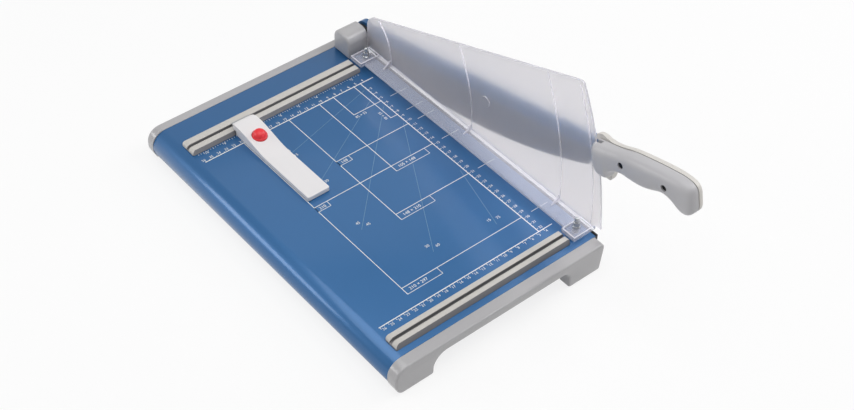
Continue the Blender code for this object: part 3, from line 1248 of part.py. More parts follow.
def gauge_bar(parent):
    """The white moulded gauge, hollow below, with a well for its button."""
    half = GAUGE_WIDTH / 2
    bm = prism(gauge_outline(), "X", -half, half)
    bar = solid("gauge_bar", bm, FINISHES["white_plastic"], parent)
    bevel = bar.modifiers.new("soft edges", "BEVEL")
    bevel.width = GAUGE_EDGE_RADIUS
    bevel.segments = 2
    bevel.limit_method = "ANGLE"
    bevel.angle_limit = radians(60)
    bevel.use_clamp_overlap = True
    inner = half - GAUGE_WALL
    well_radius = BUTTON_DIAMETER / 2 + FIT_GAP
    cut(bar, box((-inner, -GAUGE_REACH_FRONT + GAUGE_WALL, -CUT_OVERRUN),
                 (inner, -GAUGE_POCKET_START, GAUGE_WAIST_HEIGHT - GAUGE_WALL)))
    cut(bar, pin("Z", (0, -BUTTON_Y), 2 * well_radius, BUTTON_WELL_FLOOR,
                 BUTTON_TOP + CUT_OVERRUN))
    cut(bar, box((-inner, -LATCH_FRONT - FIT_GAP, -CUT_OVERRUN),
                 (inner, GAUGE_REACH_BACK + CUT_OVERRUN, LATCH_TOP + FIT_GAP)))
    cut(bar, screw_hole("Z", (0, LATCH_SCREW_Y), LATCH_SCREW_DIAMETER, LATCH_TOP,
                        LATCH_TOP + LATCH_SCREW_BITE + FIT_GAP))
    return bar


def latch_plate(parent):
    """The steel plate under the gauge whose lip runs in the rail's groove."""
    inner = GAUGE_WIDTH / 2 - GAUGE_WALL - FIT_GAP
    lip_front = BACK_RAIL_GROOVE_AT - LATCH_THICKNESS / 2
    lip_back = BACK_RAIL_GROOVE_AT + LATCH_THICKNESS / 2
    lip_low = BACK_RAIL_HEIGHT - RAIL_GROOVE_DEPTH + LATCH_LIP_GAP
    outline = [(-LATCH_FRONT, LATCH_UNDER), (-LATCH_FRONT, LATCH_TOP), (lip_back, LATCH_TOP),
               (lip_back, lip_low), (lip_front, lip_low), (lip_front, LATCH_UNDER)]
    plate = solid("gauge_latch_plate", prism(outline, "X", -inner, inner), FINISHES["steel"],
                  parent)
    cut(plate, screw_hole("Z", (0, LATCH_SCREW_Y), LATCH_SCREW_DIAMETER,
                          LATCH_UNDER - CUT_OVERRUN, LATCH_TOP + CUT_OVERRUN))
    return plate


def latch_screw(parent):
    """The small screw that holds the latch plate to the gauge."""
    bm = headed_screw("Z", (0, LATCH_SCREW_Y), LATCH_SCREW_DIAMETER, LATCH_SCREW_HEAD,
                      LATCH_SCREW_HEAD_HEIGHT, LATCH_UNDER, LATCH_THICKNESS + LATCH_SCREW_BITE)
    return solid("gauge_latch_screw", bm, FINISHES["zinc"], parent)


def gauge_button(parent):
    """The red domed button, in its empty's own frame."""
    radius = BUTTON_DIAMETER / 2
    dome = BUTTON_TOP - BUTTON_SHOULDER
    profile = [(0, BUTTON_BOTTOM), (radius, BUTTON_BOTTOM), (radius, BUTTON_SHOULDER)]
    for angle in (18, 36, 54, 72):
        profile.append((radius * cos(radians(angle)),
                        BUTTON_SHOULDER + dome * sin(radians(angle))))
    profile.append((0, BUTTON_TOP))
    return solid("gauge_button", turned(profile, "Z", (0, 0)), FINISHES["red_plastic"], parent)


def button_spring(parent):
    """The spring that lifts the button."""
    return coil("button_spring", (0, -BUTTON_Y), BUTTON_WELL_FLOOR + FIT_GAP,
                BUTTON_BOTTOM - FIT_GAP, BUTTON_SPRING_DIAMETER, BUTTON_SPRING_DIAMETER,
                BUTTON_SPRING_WIRE, BUTTON_SPRING_TURNS, FINISHES["steel"], parent)


def build_bed(base):
    """Everything that stays still on the desk."""
    table_top(base)
    end_cap("front_end_cap", FRONT_INNER, -BED_REACH_FRONT, base)
    end_cap("rear_end_cap", REAR_INNER, BED_REACH_BACK, base)
    end_cap_nuts(base)
    rubber_feet(base)
    angle_bar(base)
    lower_blade(base)
    lower_blade_screws(base)
    rail_body("back_rail", 0, BACK_RAIL_WIDTH, BACK_RAIL_HEIGHT, BACK_RAIL_SLOPE,
              BACK_RAIL_GROOVE_AT, base)
    rail_body("front_rail", FRONT_RAIL_FOOT, FRONT_RAIL_WIDTH, FRONT_RAIL_HEIGHT,
              FRONT_RAIL_SLOPE, FRONT_RAIL_GROOVE_AT, base)
    rail_screws(base)
    pivot_block(base)
    pivot_cover(base)
    pivot_block_screws(base)
    pivot_pin(base)
    friction_washer(base)
    spring_washer(base)
    pivot_nut(base)
    clamp_studs(base)
    clamp_stop_nuts(base)
    clamp_stud_nuts(base)
    clamp_springs(base)


def build_arm(base):
    """The blade arm with its knife and handle, turned up to its resting pose."""
    pivot = empty("arm_pivot", (0, PIVOT_Y, PIVOT_Z), base, -radians(ARM_LIFT_DEGREES))
    blade_arm(pivot)
    pivot_bush(pivot)
    upper_blade(pivot)
    upper_blade_screws(pivot)
    upper_blade_nuts(pivot)
    handle_front_half(pivot)
    handle_rear_half(pivot)
    handle_screws(pivot)


def build_gauge(base):
    """The back gauge and its release button."""
    gauge = empty("gauge_slide", (-GAUGE_X, 0, 0), base)
    gauge_bar(gauge)
    latch_plate(gauge)
    latch_screw(gauge)
    button_spring(gauge)
    button = empty("button_axis", (0, -BUTTON_Y, 0), gauge)
    gauge_button(button)


def stand_on_origin(base):
    """Move the cutter so that the origin is the middle of its footprint on the desk."""
    bpy.context.view_layer.update()
    graph = bpy.context.evaluated_depsgraph_get()
    low = Vector((1, 1, 1)) * 1e9
    high = -low
    for item in bpy.context.scene.objects:
        if item.type == "EMPTY" or item.hide_render:
            continue
        seen = item.evaluated_get(graph)
        mesh = seen.to_mesh()
        for vert in mesh.vertices:
            spot = seen.matrix_world @ vert.co
            low = Vector(map(min, low, spot))
            high = Vector(map(max, high, spot))
        seen.to_mesh_clear()
    base.location = (-(low.x + high.x) / 2, -(low.y + high.y) / 2, -low.z)
    bpy.context.view_layer.update()
    print("base frame at", tuple(round(value, 6) for value in base.location))
    print("overall size", tuple(round(value, 6) for value in high - low))


clear_scene()
FINISHES = {
    "blue_paint": finish("blue paint", (0.055, 0.170, 0.370), 0.35),
    "grey_plastic": finish("grey plastic", (0.400, 0.400, 0.400), 0.45),
    "handle_plastic": finish("handle plastic", (0.420, 0.420, 0.425), 0.45),
    "white_plastic": finish("white plastic", (0.780, 0.775, 0.780), 0.40),
    "red_plastic": finish("red plastic", (0.750, 0.030, 0.040), 0.25),
    "clear_plastic": finish("clear plastic", (0.800, 0.800, 0.820), 0.15, alpha=0.35),
    "black_plastic": finish("black plastic", (0.020, 0.020, 0.020), 0.50),
    "rubber": finish("rubber", (0.030, 0.030, 0.030), 0.80),
    "steel": finish("steel", (0.550, 0.560, 0.570), 0.40, 1.0),
    "blade_steel": finish("blade steel", (0.450, 0.460, 0.480), 0.25, 1.0),
    "black_steel": finish("black steel", (0.030, 0.030, 0.032), 0.45, 1.0),
    "chrome": finish("chrome", (0.800, 0.810, 0.820), 0.15, 1.0),
    "zinc": finish("zinc", (0.620, 0.630, 0.640), 0.35, 1.0),
    "bronze": finish("bronze", (0.550, 0.380, 0.160), 0.35, 1.0),
}
frame = empty("cutter_frame", (0, 0, 0))
build_bed(frame)
build_arm(frame)
clamp_guard(empty("clamp_slide", (0, 0, 0), frame))
build_gauge(frame)
stand_on_origin(frame)
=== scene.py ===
"""Looks of the guillotine paper cutter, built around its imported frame.

Sizes are millimetres. X is zero on the cutting plane and grows away from the table, Y is zero on
the paper stop and grows away from the user, Z is zero on the table top. The arm's own pieces are
drawn closed, from its pivot: forward is minus Y, up is plus Z. A finished mesh is turned into the
frame's metres as its last step.
"""

import json
import logging
from dataclasses import dataclass, field
from enum import Enum
from math import atan2, cos, hypot, pi, radians, sin, sqrt, tan
from typing import Iterable, Optional, Sequence

import bmesh
import bpy
from mathutils import Matrix, Vector

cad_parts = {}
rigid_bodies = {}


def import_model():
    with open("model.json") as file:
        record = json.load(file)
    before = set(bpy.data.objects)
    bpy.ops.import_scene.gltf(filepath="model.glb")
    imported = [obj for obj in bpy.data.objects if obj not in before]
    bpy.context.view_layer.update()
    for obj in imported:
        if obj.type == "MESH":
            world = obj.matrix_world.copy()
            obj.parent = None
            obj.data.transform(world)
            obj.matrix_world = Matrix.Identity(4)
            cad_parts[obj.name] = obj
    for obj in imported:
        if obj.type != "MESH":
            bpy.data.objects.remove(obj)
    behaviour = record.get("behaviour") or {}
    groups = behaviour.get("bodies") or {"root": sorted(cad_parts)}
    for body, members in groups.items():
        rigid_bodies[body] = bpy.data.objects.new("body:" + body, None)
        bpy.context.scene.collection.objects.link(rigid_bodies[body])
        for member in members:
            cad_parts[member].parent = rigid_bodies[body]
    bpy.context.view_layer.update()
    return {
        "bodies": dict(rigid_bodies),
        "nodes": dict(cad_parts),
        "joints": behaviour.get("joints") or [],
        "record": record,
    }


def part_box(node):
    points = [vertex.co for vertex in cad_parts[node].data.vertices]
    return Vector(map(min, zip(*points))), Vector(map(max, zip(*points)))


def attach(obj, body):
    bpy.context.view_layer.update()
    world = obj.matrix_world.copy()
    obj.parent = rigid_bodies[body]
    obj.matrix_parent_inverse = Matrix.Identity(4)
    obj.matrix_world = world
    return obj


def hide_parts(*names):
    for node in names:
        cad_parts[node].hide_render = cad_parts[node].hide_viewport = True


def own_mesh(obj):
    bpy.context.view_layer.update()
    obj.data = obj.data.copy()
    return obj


LOG = logging.getLogger("paper_cutter")
MILLIMETRE = 0.001
FIT_GAP = 0.3
OVERRUN = 2.0
WELD = 0.6
MERGE = 0.0002
CONVEX = "bevel_weight_edge"
FINE_GRAIN_SHARE = 0.35
GRAIN_MIDDLE = 0.675
BROAD_PATCHES_PER_METRE = 9.0
GRAIN_DULLNESS = 0.12
COAT_ROUGHNESS = 0.14
PANE_SHADOW = (0.86, 0.86, 0.88, 1.0)

Corner = tuple[float, float, float]
Point = tuple[float, float]
BMesh = bmesh.types.BMesh

PIVOT: Point = (37.0, 15.5)
STUDS: tuple[Point, Point] = ((-15.5, 11.5), (-15.5, -349.0))
BUTTON: Point = (-195.0, -26.5)


class Axis(Enum):
    """The direction in which a flat outline grows into a body."""

    X = 0
    Y = 1
    Z = 2

    def place(self, a: float, b: float, along: float) -> Vector:
        """Where a flat outline point (a, b) lies at a depth along this axis."""
        return Vector(((along, a, b), (a, along, b), (a, b, along))[self.value])


class Blend(Enum):
    """How one closed body meets another."""

    CUT = "DIFFERENCE"
    JOIN = "UNION"
    KEEP = "INTERSECT"


class Grain(Enum):
    """What covers a surface when it is looked at closely."""

    MOULDED = "moulded"
    SPRAYED = "sprayed"
    GROUND = "ground"
    POLISHED = "polished"

    def stretch(self) -> tuple[float, float, float]:
        """How the grain is drawn out along the three axes."""
        return (14.0, 0.35, 14.0) if self is Grain.GROUND else (1.0, 1.0, 1.0)

    def detail(self) -> float:
        """How many finer layers the grain has."""
        return {Grain.GROUND: 5.0, Grain.MOULDED: 3.0}.get(self, 1.0)


@dataclass(frozen=True)
class Finish:
    """One finish of the cutter.

    Args:
        slot: the record's material slot that it belongs to.
        colour: its sRGB colour, 0 to 255.
        roughness: how dull it is, 0 to 1.
        grain: what covers it when it is looked at closely.
        metallic: 1 for bare metal.
        clear: how much of the light that meets it passes through, 0 to 1.
        alpha: how much of what lies behind it hides, 0 to 1.
        tone: how far its colour wanders, as a share.
        depth: how deep its grain is, in millimetres.
        size: how far apart its grains are, in millimetres.
        coat: how much clear lacquer lies over it, 0 to 1.
    """

    slot: str
    colour: tuple[int, int, int]
    roughness: float
    grain: Grain = Grain.MOULDED
    metallic: float = 0.0
    clear: float = 0.0
    alpha: float = 1.0
    tone: float = 0.03
    depth: float = 0.02
    size: float = 0.6
    coat: float = 0.0

    def linear(self) -> tuple[float, float, float, float]:
        """The colour as the shader wants it."""
        shares = [value / 255 for value in self.colour]
        curve = [v / 12.92 if v <= 0.04045 else ((v + 0.055) / 1.055) ** 2.4 for v in shares]
        return (*curve, 1.0)


TABLE_PAINT = Finish("blue_paint", (40, 100, 154), 0.38, Grain.SPRAYED, metallic=0.35, depth=0.002,
                     size=1.4, coat=0.5)
ARM_PAINT = Finish("blue_paint", (47, 98, 148), 0.38, Grain.SPRAYED, metallic=0.35, depth=0.002,
                   size=1.2, coat=0.3)
CAP_PLASTIC = Finish("grey_plastic", (172, 171, 173), 0.32, depth=0.004, size=0.5, coat=0.5)
RAIL_PLASTIC = Finish("grey_plastic", (196, 193, 188), 0.45, depth=0.012, size=0.5)
# Painted shade: the rails' sides and groove get this darker grey than their tops, for the shade that
# falls on them.
RAIL_PAINTED_SHADE_PLASTIC = Finish("grey_plastic", (128, 127, 129), 0.45, depth=0.012, size=0.5)
HANDLE_PLASTIC = Finish("handle_plastic", (186, 185, 188), 0.34, depth=0.010, size=0.5)
HANDLE_BACK_PLASTIC = Finish("handle_plastic", (210, 207, 202), 0.42, depth=0.010, size=0.5)
GAUGE_PLASTIC = Finish("white_plastic", (226, 224, 225), 0.38, depth=0.010, size=0.5)
BUTTON_PLASTIC = Finish("red_plastic", (232, 50, 58), 0.36, depth=0.002, size=0.8, tone=0.02)
CLEAR_WALL = Finish("clear_plastic", (243, 240, 241), 0.40, Grain.POLISHED, clear=0.90, depth=0.002,
                    size=3.0)
CLEAR_STRIP = Finish("clear_plastic", (206, 208, 220), 0.24, Grain.POLISHED, alpha=0.34, depth=0.002,
                     size=3.0)
# Painted highlight: the clear moulding's narrow edges get this whiter, more opaque plastic for the
# light that glows along them.
CLEAR_RIM_PAINTED_HIGHLIGHT = Finish("clear_plastic", (232, 230, 238), 0.20, Grain.POLISHED, alpha=0.62, depth=0.002,
                    size=3.0)
BLACK_PLASTIC = Finish("black_plastic", (28, 28, 30), 0.5, depth=0.01)
RUBBER = Finish("rubber", (34, 34, 36), 0.8, depth=0.05, size=0.4)
STEEL = Finish("steel", (176, 178, 180), 0.42, Grain.GROUND, metallic=1.0, tone=0.08)
BLADE_STEEL = Finish("blade_steel", (150, 153, 160), 0.30, Grain.GROUND, metallic=1.0, tone=0.10)
# Painted shade: a near-black steel for the lower knife's end and top faces, where the bare steel
# lies in shade.
KNIFE_PAINTED_SHADE_STEEL = Finish("blade_steel", (48, 49, 52), 0.40, Grain.GROUND, metallic=1.0, tone=0.08)
BLACK_STEEL = Finish("black_steel", (44, 44, 46), 0.45, Grain.POLISHED, metallic=1.0)
CHROME = Finish("chrome", (176, 179, 182), 0.20, Grain.POLISHED, metallic=1.0, tone=0.02)
ZINC = Finish("zinc", (188, 190, 192), 0.34, Grain.GROUND, metallic=1.0, tone=0.08)
BRONZE = Finish("bronze", (178, 142, 92), 0.34, Grain.GROUND, metallic=1.0, tone=0.06)
INK = Finish("blue_paint", (226, 228, 226), 0.5, Grain.SPRAYED, depth=0.004, size=0.6)
FAINT_INK = Finish("blue_paint", (104, 143, 172), 0.45, Grain.SPRAYED, depth=0.004, size=0.6)
NODE_FINISHES = {"steel": STEEL, "blade_steel": BLADE_STEEL, "black_steel": BLACK_STEEL,
                 "chrome": CHROME, "zinc": ZINC, "bronze": BRONZE, "rubber": RUBBER,
                 "black_plastic": BLACK_PLASTIC, "blue_paint": ARM_PAINT,
                 "grey_plastic": CAP_PLASTIC, "handle_plastic": HANDLE_PLASTIC,
                 "white_plastic": GAUGE_PLASTIC, "red_plastic": BUTTON_PLASTIC,
                 "clear_plastic": CLEAR_WALL}


def value_of(socket: bpy.types.NodeSocket, value: object) -> None:
    """Set a socket's constant, or link it where the value is another socket.

    Args:
        socket: the input to fill.
        value: a constant, or the output that feeds it.
    """
    if isinstance(value, bpy.types.NodeSocket):
        socket.id_data.links.new(value, socket)
    else:
        socket.default_value = value


def node(tree: bpy.types.NodeTree, kind: str, settings: Optional[dict] = None,
         values: Sequence[object] = (), **inputs: object) -> bpy.types.Node:
    """Add a node and fill its inputs.

    Args:
        tree: the tree that it joins.
        kind: Blender's name of the node.
        settings: its properties.
        values: what its first sockets get, in their order.
        inputs: its sockets by name, with underscores for spaces.

    Returns:
        The new node.
    """
    made = tree.nodes.new(kind)
    for name, value in (settings or {}).items():
        setattr(made, name, value)
    for socket, value in zip(made.inputs, values):
        value_of(socket, value)
    for name, value in inputs.items():
        value_of(made.inputs[name.replace("_", " ")], value)
    return made


def maths(tree: bpy.types.NodeTree, operation: str, *values: object,
          clamp: bool = False) -> bpy.types.NodeSocket:
    """Add a Math node over some values and give its result."""
    settings = {"operation": operation, "use_clamp": clamp}
    return node(tree, "ShaderNodeMath", settings, values).outputs[0]


def mesh_of(name: str, bm: BMesh) -> bpy.types.Mesh:
    """Turn a bmesh into a mesh and free it."""
    mesh = bpy.data.meshes.new(name)
    bm.to_mesh(mesh)
    bm.free()
    return mesh


def blank_tree(owner: bpy.types.ID) -> bpy.types.NodeTree:
    """Switch on the nodes of a material or a world and clear them."""
    owner.use_nodes = True
    owner.node_tree.nodes.clear()
    return owner.node_tree


def shown(name: str, data: bpy.types.ID) -> bpy.types.Object:
    """Put an object that holds some data into the scene."""
    made = bpy.data.objects.new(name, data)
    bpy.context.scene.collection.objects.link(made)
    return made


class FinishShop:
    """Builds the shared effects once and each finish's material once."""

    def __init__(self) -> None:
        """Start with an empty rack."""
        self.made: dict[Finish, bpy.types.Material] = {}
        self.effects: dict[Grain, bpy.types.NodeTree] = {}

    def effect(self, grain: Grain) -> bpy.types.NodeTree:
        """The node group of one grain: a height, a tone and a dullness over the surface.

        Args:
            grain: which covering.

        Returns:
            The node group, with Place, Grains per metre and Spread going in.
        """
        if grain in self.effects:
            return self.effects[grain]
        tree = bpy.data.node_groups.new(grain.value + "_grain", "ShaderNodeTree")
        face = tree.interface
        face.new_socket("Place", in_out="INPUT", socket_type="NodeSocketVector")
        size = face.new_socket("Grains per metre", in_out="INPUT", socket_type="NodeSocketFloat")
        size.default_value = 1000.0
        spread = face.new_socket("Spread", in_out="INPUT", socket_type="NodeSocketFloat")
        spread.default_value = 0.03
        for name in ("Height", "Tone", "Dullness"):
            face.new_socket(name, in_out="OUTPUT", socket_type="NodeSocketFloat")
        start = tree.nodes.new("NodeGroupInput")
        place, grains, wander = start.outputs[0], start.outputs[1], start.outputs[2]
        laid = node(tree, "ShaderNodeVectorMath", {"operation": "MULTIPLY"},
                    (place, grain.stretch()))
        fine = node(tree, "ShaderNodeTexNoise", Vector=laid.outputs[0], Scale=grains,
                    Detail=grain.detail(), Roughness=0.55)
        broad = node(tree, "ShaderNodeTexNoise", Vector=place, Scale=BROAD_PATCHES_PER_METRE,
                     Detail=3.0, Roughness=0.5)
        mixed = maths(tree, "MULTIPLY_ADD", fine.outputs[0], FINE_GRAIN_SHARE, broad.outputs[0])
        centred = maths(tree, "SUBTRACT", mixed, GRAIN_MIDDLE)
        tone = maths(tree, "MULTIPLY_ADD", centred, wander, 1.0)
        node(tree, "NodeGroupOutput", Height=fine.outputs[0], Tone=tone, Dullness=centred)
        self.effects[grain] = tree
        return tree

    def material(self, finish: Finish) -> bpy.types.Material:
        """The material of one finish.

        Args:
            finish: what to build.

        Returns:
            Its material, built the first time and reused after.
        """
        if finish in self.made:
            return self.made[finish]
        made = bpy.data.materials.new(f"{finish.slot}_{len(self.made) + 1}")
        tree = blank_tree(made)
        spot = node(tree, "ShaderNodeTexCoord")
        effect = node(tree, "ShaderNodeGroup", {"node_tree": self.effect(finish.grain)},
                      (spot.outputs["Object"], 1 / (finish.size * MILLIMETRE), finish.tone))
        tinted = node(tree, "ShaderNodeVectorMath", {"operation": "SCALE"},
                      (finish.linear()[:3],), Scale=effect.outputs["Tone"])
        dull = maths(tree, "MULTIPLY_ADD", effect.outputs["Dullness"], GRAIN_DULLNESS,
                     finish.roughness, clamp=True)
        bump = node(tree, "ShaderNodeBump", Height=effect.outputs["Height"],
                    Distance=finish.depth * MILLIMETRE, Strength=1.0)
        shader = node(tree, "ShaderNodeBsdfPrincipled", Base_Color=tinted.outputs[0],
                      Roughness=dull, Normal=bump.outputs[0], Metallic=finish.metallic,
                      Transmission_Weight=finish.clear, Alpha=finish.alpha,
                      Coat_Weight=finish.coat, Coat_Roughness=COAT_ROUGHNESS)
        surface = shader.outputs[0]
        if finish.clear:
            path = node(tree, "ShaderNodeLightPath")
            pane = node(tree, "ShaderNodeBsdfTransparent", Color=PANE_SHADOW)
            shade = node(tree, "ShaderNodeMixShader", None,
                         (path.outputs["Is Shadow Ray"], surface, pane.outputs[0]))
            surface = shade.outputs[0]
        node(tree, "ShaderNodeOutputMaterial", Surface=surface)
        self.made[finish] = made
        return made


def flat_face(bm: BMesh, corners: Sequence[Corner], axis: Axis, along: float,
              segments: int = 8) -> bmesh.types.BMFace:
    """Lay one flat face and round its corners.

    Args:
        bm: an empty bmesh.
        corners: (a, b, radius) for each corner.
        axis: the face looks along this axis.
        along: its depth on that axis.
        segments: how many steps a round corner takes.

    Returns:
        The face.
    """
    verts = [bm.verts.new(axis.place(a, b, along)) for a, b, _ in corners]
    bm.faces.new(verts)
    for vert, (_, _, radius) in zip(verts, corners):
        if radius:
            one, other = (edge.other_vert(vert).co - vert.co for edge in vert.link_edges)
            offset = radius / tan(one.angle(other) / 2)
            bmesh.ops.bevel(bm, geom=[vert], offset=offset, offset_type="OFFSET",
                            affect="VERTICES", segments=segments, profile=0.5, material=-1)
    bm.faces.ensure_lookup_table()
    return bm.faces[0]


def push(bm: BMesh, grown: dict, way: Sequence[float]) -> None:
    """Move the vertices that an extrusion has made."""
    moved = [part for part in grown["geom"] if isinstance(part, bmesh.types.BMVert)]
    bmesh.ops.translate(bm, verts=moved, vec=way)


def grow(bm: BMesh, face: bmesh.types.BMFace, way: Vector) -> None:
    """Extrude a face into a closed body with its faces pointing out."""
    push(bm, bmesh.ops.extrude_face_region(bm, geom=[face]), way)
    bmesh.ops.recalc_face_normals(bm, faces=bm.faces)


def close(bm: BMesh) -> None:
    """Fill a body's open ends and turn its faces outward."""
    bmesh.ops.holes_fill(bm, edges=bm.edges, sides=0)
    bmesh.ops.recalc_face_normals(bm, faces=bm.faces)


def soft_edges(made: bpy.types.Object, width: float, segments: int,
               sharp: float) -> bpy.types.BevelModifier:
    """Soften an object's edges over a width in millimetres, where they are sharp in degrees."""
    bevel = made.modifiers.new("soft edges", "BEVEL")
    bevel.width = width * MILLIMETRE
    bevel.segments = segments
    bevel.limit_method = "ANGLE"
    bevel.angle_limit = radians(sharp)
    return bevel


def slab(corners: Sequence[Corner], axis: Axis, start: float, end: float,
         segments: int = 8) -> BMesh:
    """A straight body over an outline with round corners.

    Args:
        corners: (a, b, radius) for each corner.
        axis: the body grows along this axis.
        start: where it starts.
        end: where it ends.
        segments: how many steps a round corner takes.

    Returns:
        The body.
    """
    bm = bmesh.new()
    face = flat_face(bm, corners, axis, start, segments)
    grow(bm, face, axis.place(0, 0, end - start))
    return bm


def block(low: Sequence[float], high: Sequence[float]) -> BMesh:
    """A block between two corners."""
    bm = bmesh.new()
    bmesh.ops.create_cube(bm, size=1)
    size = Vector(high) - Vector(low)
    bmesh.ops.scale(bm, vec=size, verts=bm.verts)
    bmesh.ops.translate(bm, vec=Vector(low) + size / 2, verts=bm.verts)
    return bm


def band(inner: float, outer: float, start: float, end: float) -> list[Point]:
    """The profile of a plain ring, or of a plain rod where the inner radius is zero."""
    return [(inner, start), (outer, start), (outer, end), (inner, end)]


def stepped(wide: float, narrow: float, mouth: float, seat: float, end: float) -> list[Point]:
    """The profile of a bore that is wide down to its seat and narrow beyond."""
    return [(0, mouth), (wide, mouth), (wide, seat), (narrow, seat), (narrow, end), (0, end)]


def rod(axis: Axis, centre: Point, diameter: float, start: float, end: float,
        steps: int = 40) -> BMesh:
    """A plain cylinder along an axis through a centre."""
    return turned(band(0, diameter / 2, start, end), axis, centre, steps)


def turned(profile: Sequence[Point], axis: Axis, centre: Point, steps: int = 40,
           closed: bool = False) -> BMesh:
    """A body turned from a profile.

    Args:
        profile: (radius, depth) points.
        axis: the turning axis.
        centre: where that axis lies.
        steps: how many facets go round.
        closed: whether the profile's ends meet, as in a ring.

    Returns:
        The body.
    """
    bm = bmesh.new()
    verts = [bm.verts.new(axis.place(radius, 0, depth)) for radius, depth in profile]
    edges = [bm.edges.new(pair) for pair in zip(verts, verts[1:])]
    if closed:
        edges.append(bm.edges.new((verts[-1], verts[0])))
    bmesh.ops.spin(bm, geom=verts + edges, cent=(0, 0, 0), axis=axis.place(0, 0, 1),
                   angle=2 * pi, steps=steps, use_merge=True)
    bmesh.ops.remove_doubles(bm, verts=bm.verts, dist=MERGE)
    bmesh.ops.translate(bm, verts=bm.verts, vec=axis.place(*centre, 0))
    bmesh.ops.recalc_face_normals(bm, faces=bm.faces)
    return bm


def soften(bm: BMesh, axis: Axis, along: float, radius: float,
           segments: int = 4) -> BMesh:
    """Round the rim of the flat face that lies at one depth along an axis."""
    edges = [edge for edge in bm.edges
             if all(abs(vert.co[axis.value] - along) < MERGE for vert in edge.verts)]
    bmesh.ops.bevel(bm, geom=edges, offset=radius, affect="EDGES", segments=segments,
                    profile=0.5, material=-1)
    return bm


def gathered(bodies: Iterable[BMesh]) -> BMesh:
    """Put several bodies into one bmesh."""
    whole = bmesh.new()
    for body in bodies:
        loose = mesh_of("loose", body)
        whole.from_mesh(loose)
        bpy.data.meshes.remove(loose)
    return whole


def merged(body: BMesh, how: Blend, *tools: BMesh) -> BMesh:
    """Cut, join or keep a closed body with tools that don't touch each other.

    Args:
        body: the body to change.
        how: what the tools do to it.
        tools: closed bodies.

    Returns:
        The changed body.
    """
    pair = [shown("bench", mesh_of("bench", bm)) for bm in (body, gathered(tools))]
    modifier = pair[0].modifiers.new("meet", "BOOLEAN")
    modifier.object = pair[1]
    modifier.operation = how.value
    modifier.solver = "EXACT"
    graph = bpy.context.evaluated_depsgraph_get()
    seen = pair[0].evaluated_get(graph)
    result = bmesh.new()
    result.from_mesh(seen.to_mesh())
    seen.to_mesh_clear()
    for held in pair:
        mesh = held.data
        bpy.data.objects.remove(held, do_unlink=True)
        bpy.data.meshes.remove(mesh)
    bmesh.ops.dissolve_degenerate(result, dist=MERGE, edges=result.edges)
    return result


@dataclass
class Bench:
    """Where finished pieces are dressed and set in their place."""

    frame: dict
    shop: FinishShop = field(default_factory=FinishShop)
    zero: Vector = field(default_factory=Vector)

    def __post_init__(self) -> None:
        """Find the table's zero point in the frame: cutting plane, paper stop, table top."""
        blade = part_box("lower_blade")[1]
        self.zero = Vector((blade.x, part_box("back_rail")[0].y, blade.z))

    def piece(self, name: str, bm: BMesh, finish: Finish, body: str,
              replaces: Sequence[str] = (), edge: float = 0.0, segments: int = 3,
              place: Optional[Matrix] = None, extra: Sequence[Finish] = (),
              sharp: float = 30.0, edge_slot: int = -1) -> bpy.types.Object:
        """Turn a finished bmesh into a dressed piece that rides on its body.

        Args:
            name: the piece's name.
            bm: its mesh in millimetres.
            finish: what covers it.
            body: the body of the frame that it moves with.
            replaces: the nodes that it stands for.
            edge: the width of its softened edges, in millimetres.
            segments: how many steps a softened edge takes.
            place: where it goes before the table's own place.
            extra: finishes of its further material slots.
            sharp: edges sharper than this many degrees stay sharp.
            edge_slot: the finish of the softened edges, -1 for that of the faces beside them.

        Returns:
            The piece.
        """
        to_frame = Matrix.Translation(self.zero) @ Matrix.Scale(MILLIMETRE, 4)
        bmesh.ops.transform(bm, matrix=to_frame @ (place or Matrix()), verts=bm.verts)
        made = shown(name, mesh_of(name, bm))
        mesh = made.data
        for each in (finish, *extra):
            mesh.materials.append(self.shop.material(each))
        mesh.shade_smooth()
        mesh.set_sharp_from_angle(angle=radians(sharp))
        if edge:
            bevel = soft_edges(made, edge, segments, sharp)
            bevel.limit_method = "WEIGHT" if CONVEX in mesh.attributes else "ANGLE"
            bevel.harden_normals = True
            bevel.material = edge_slot
        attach(made, body)
        if replaces:
            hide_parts(*replaces)
        LOG.info("%s on %s: %d faces", name, body, len(mesh.polygons))
        return made

    def dress_node(self, name: str, finish: Finish) -> None:
        """Give a node that stays as it is its finish."""
        held = self.frame["nodes"][name]
        held.data.materials.clear()
        held.data.materials.append(self.shop.material(finish))


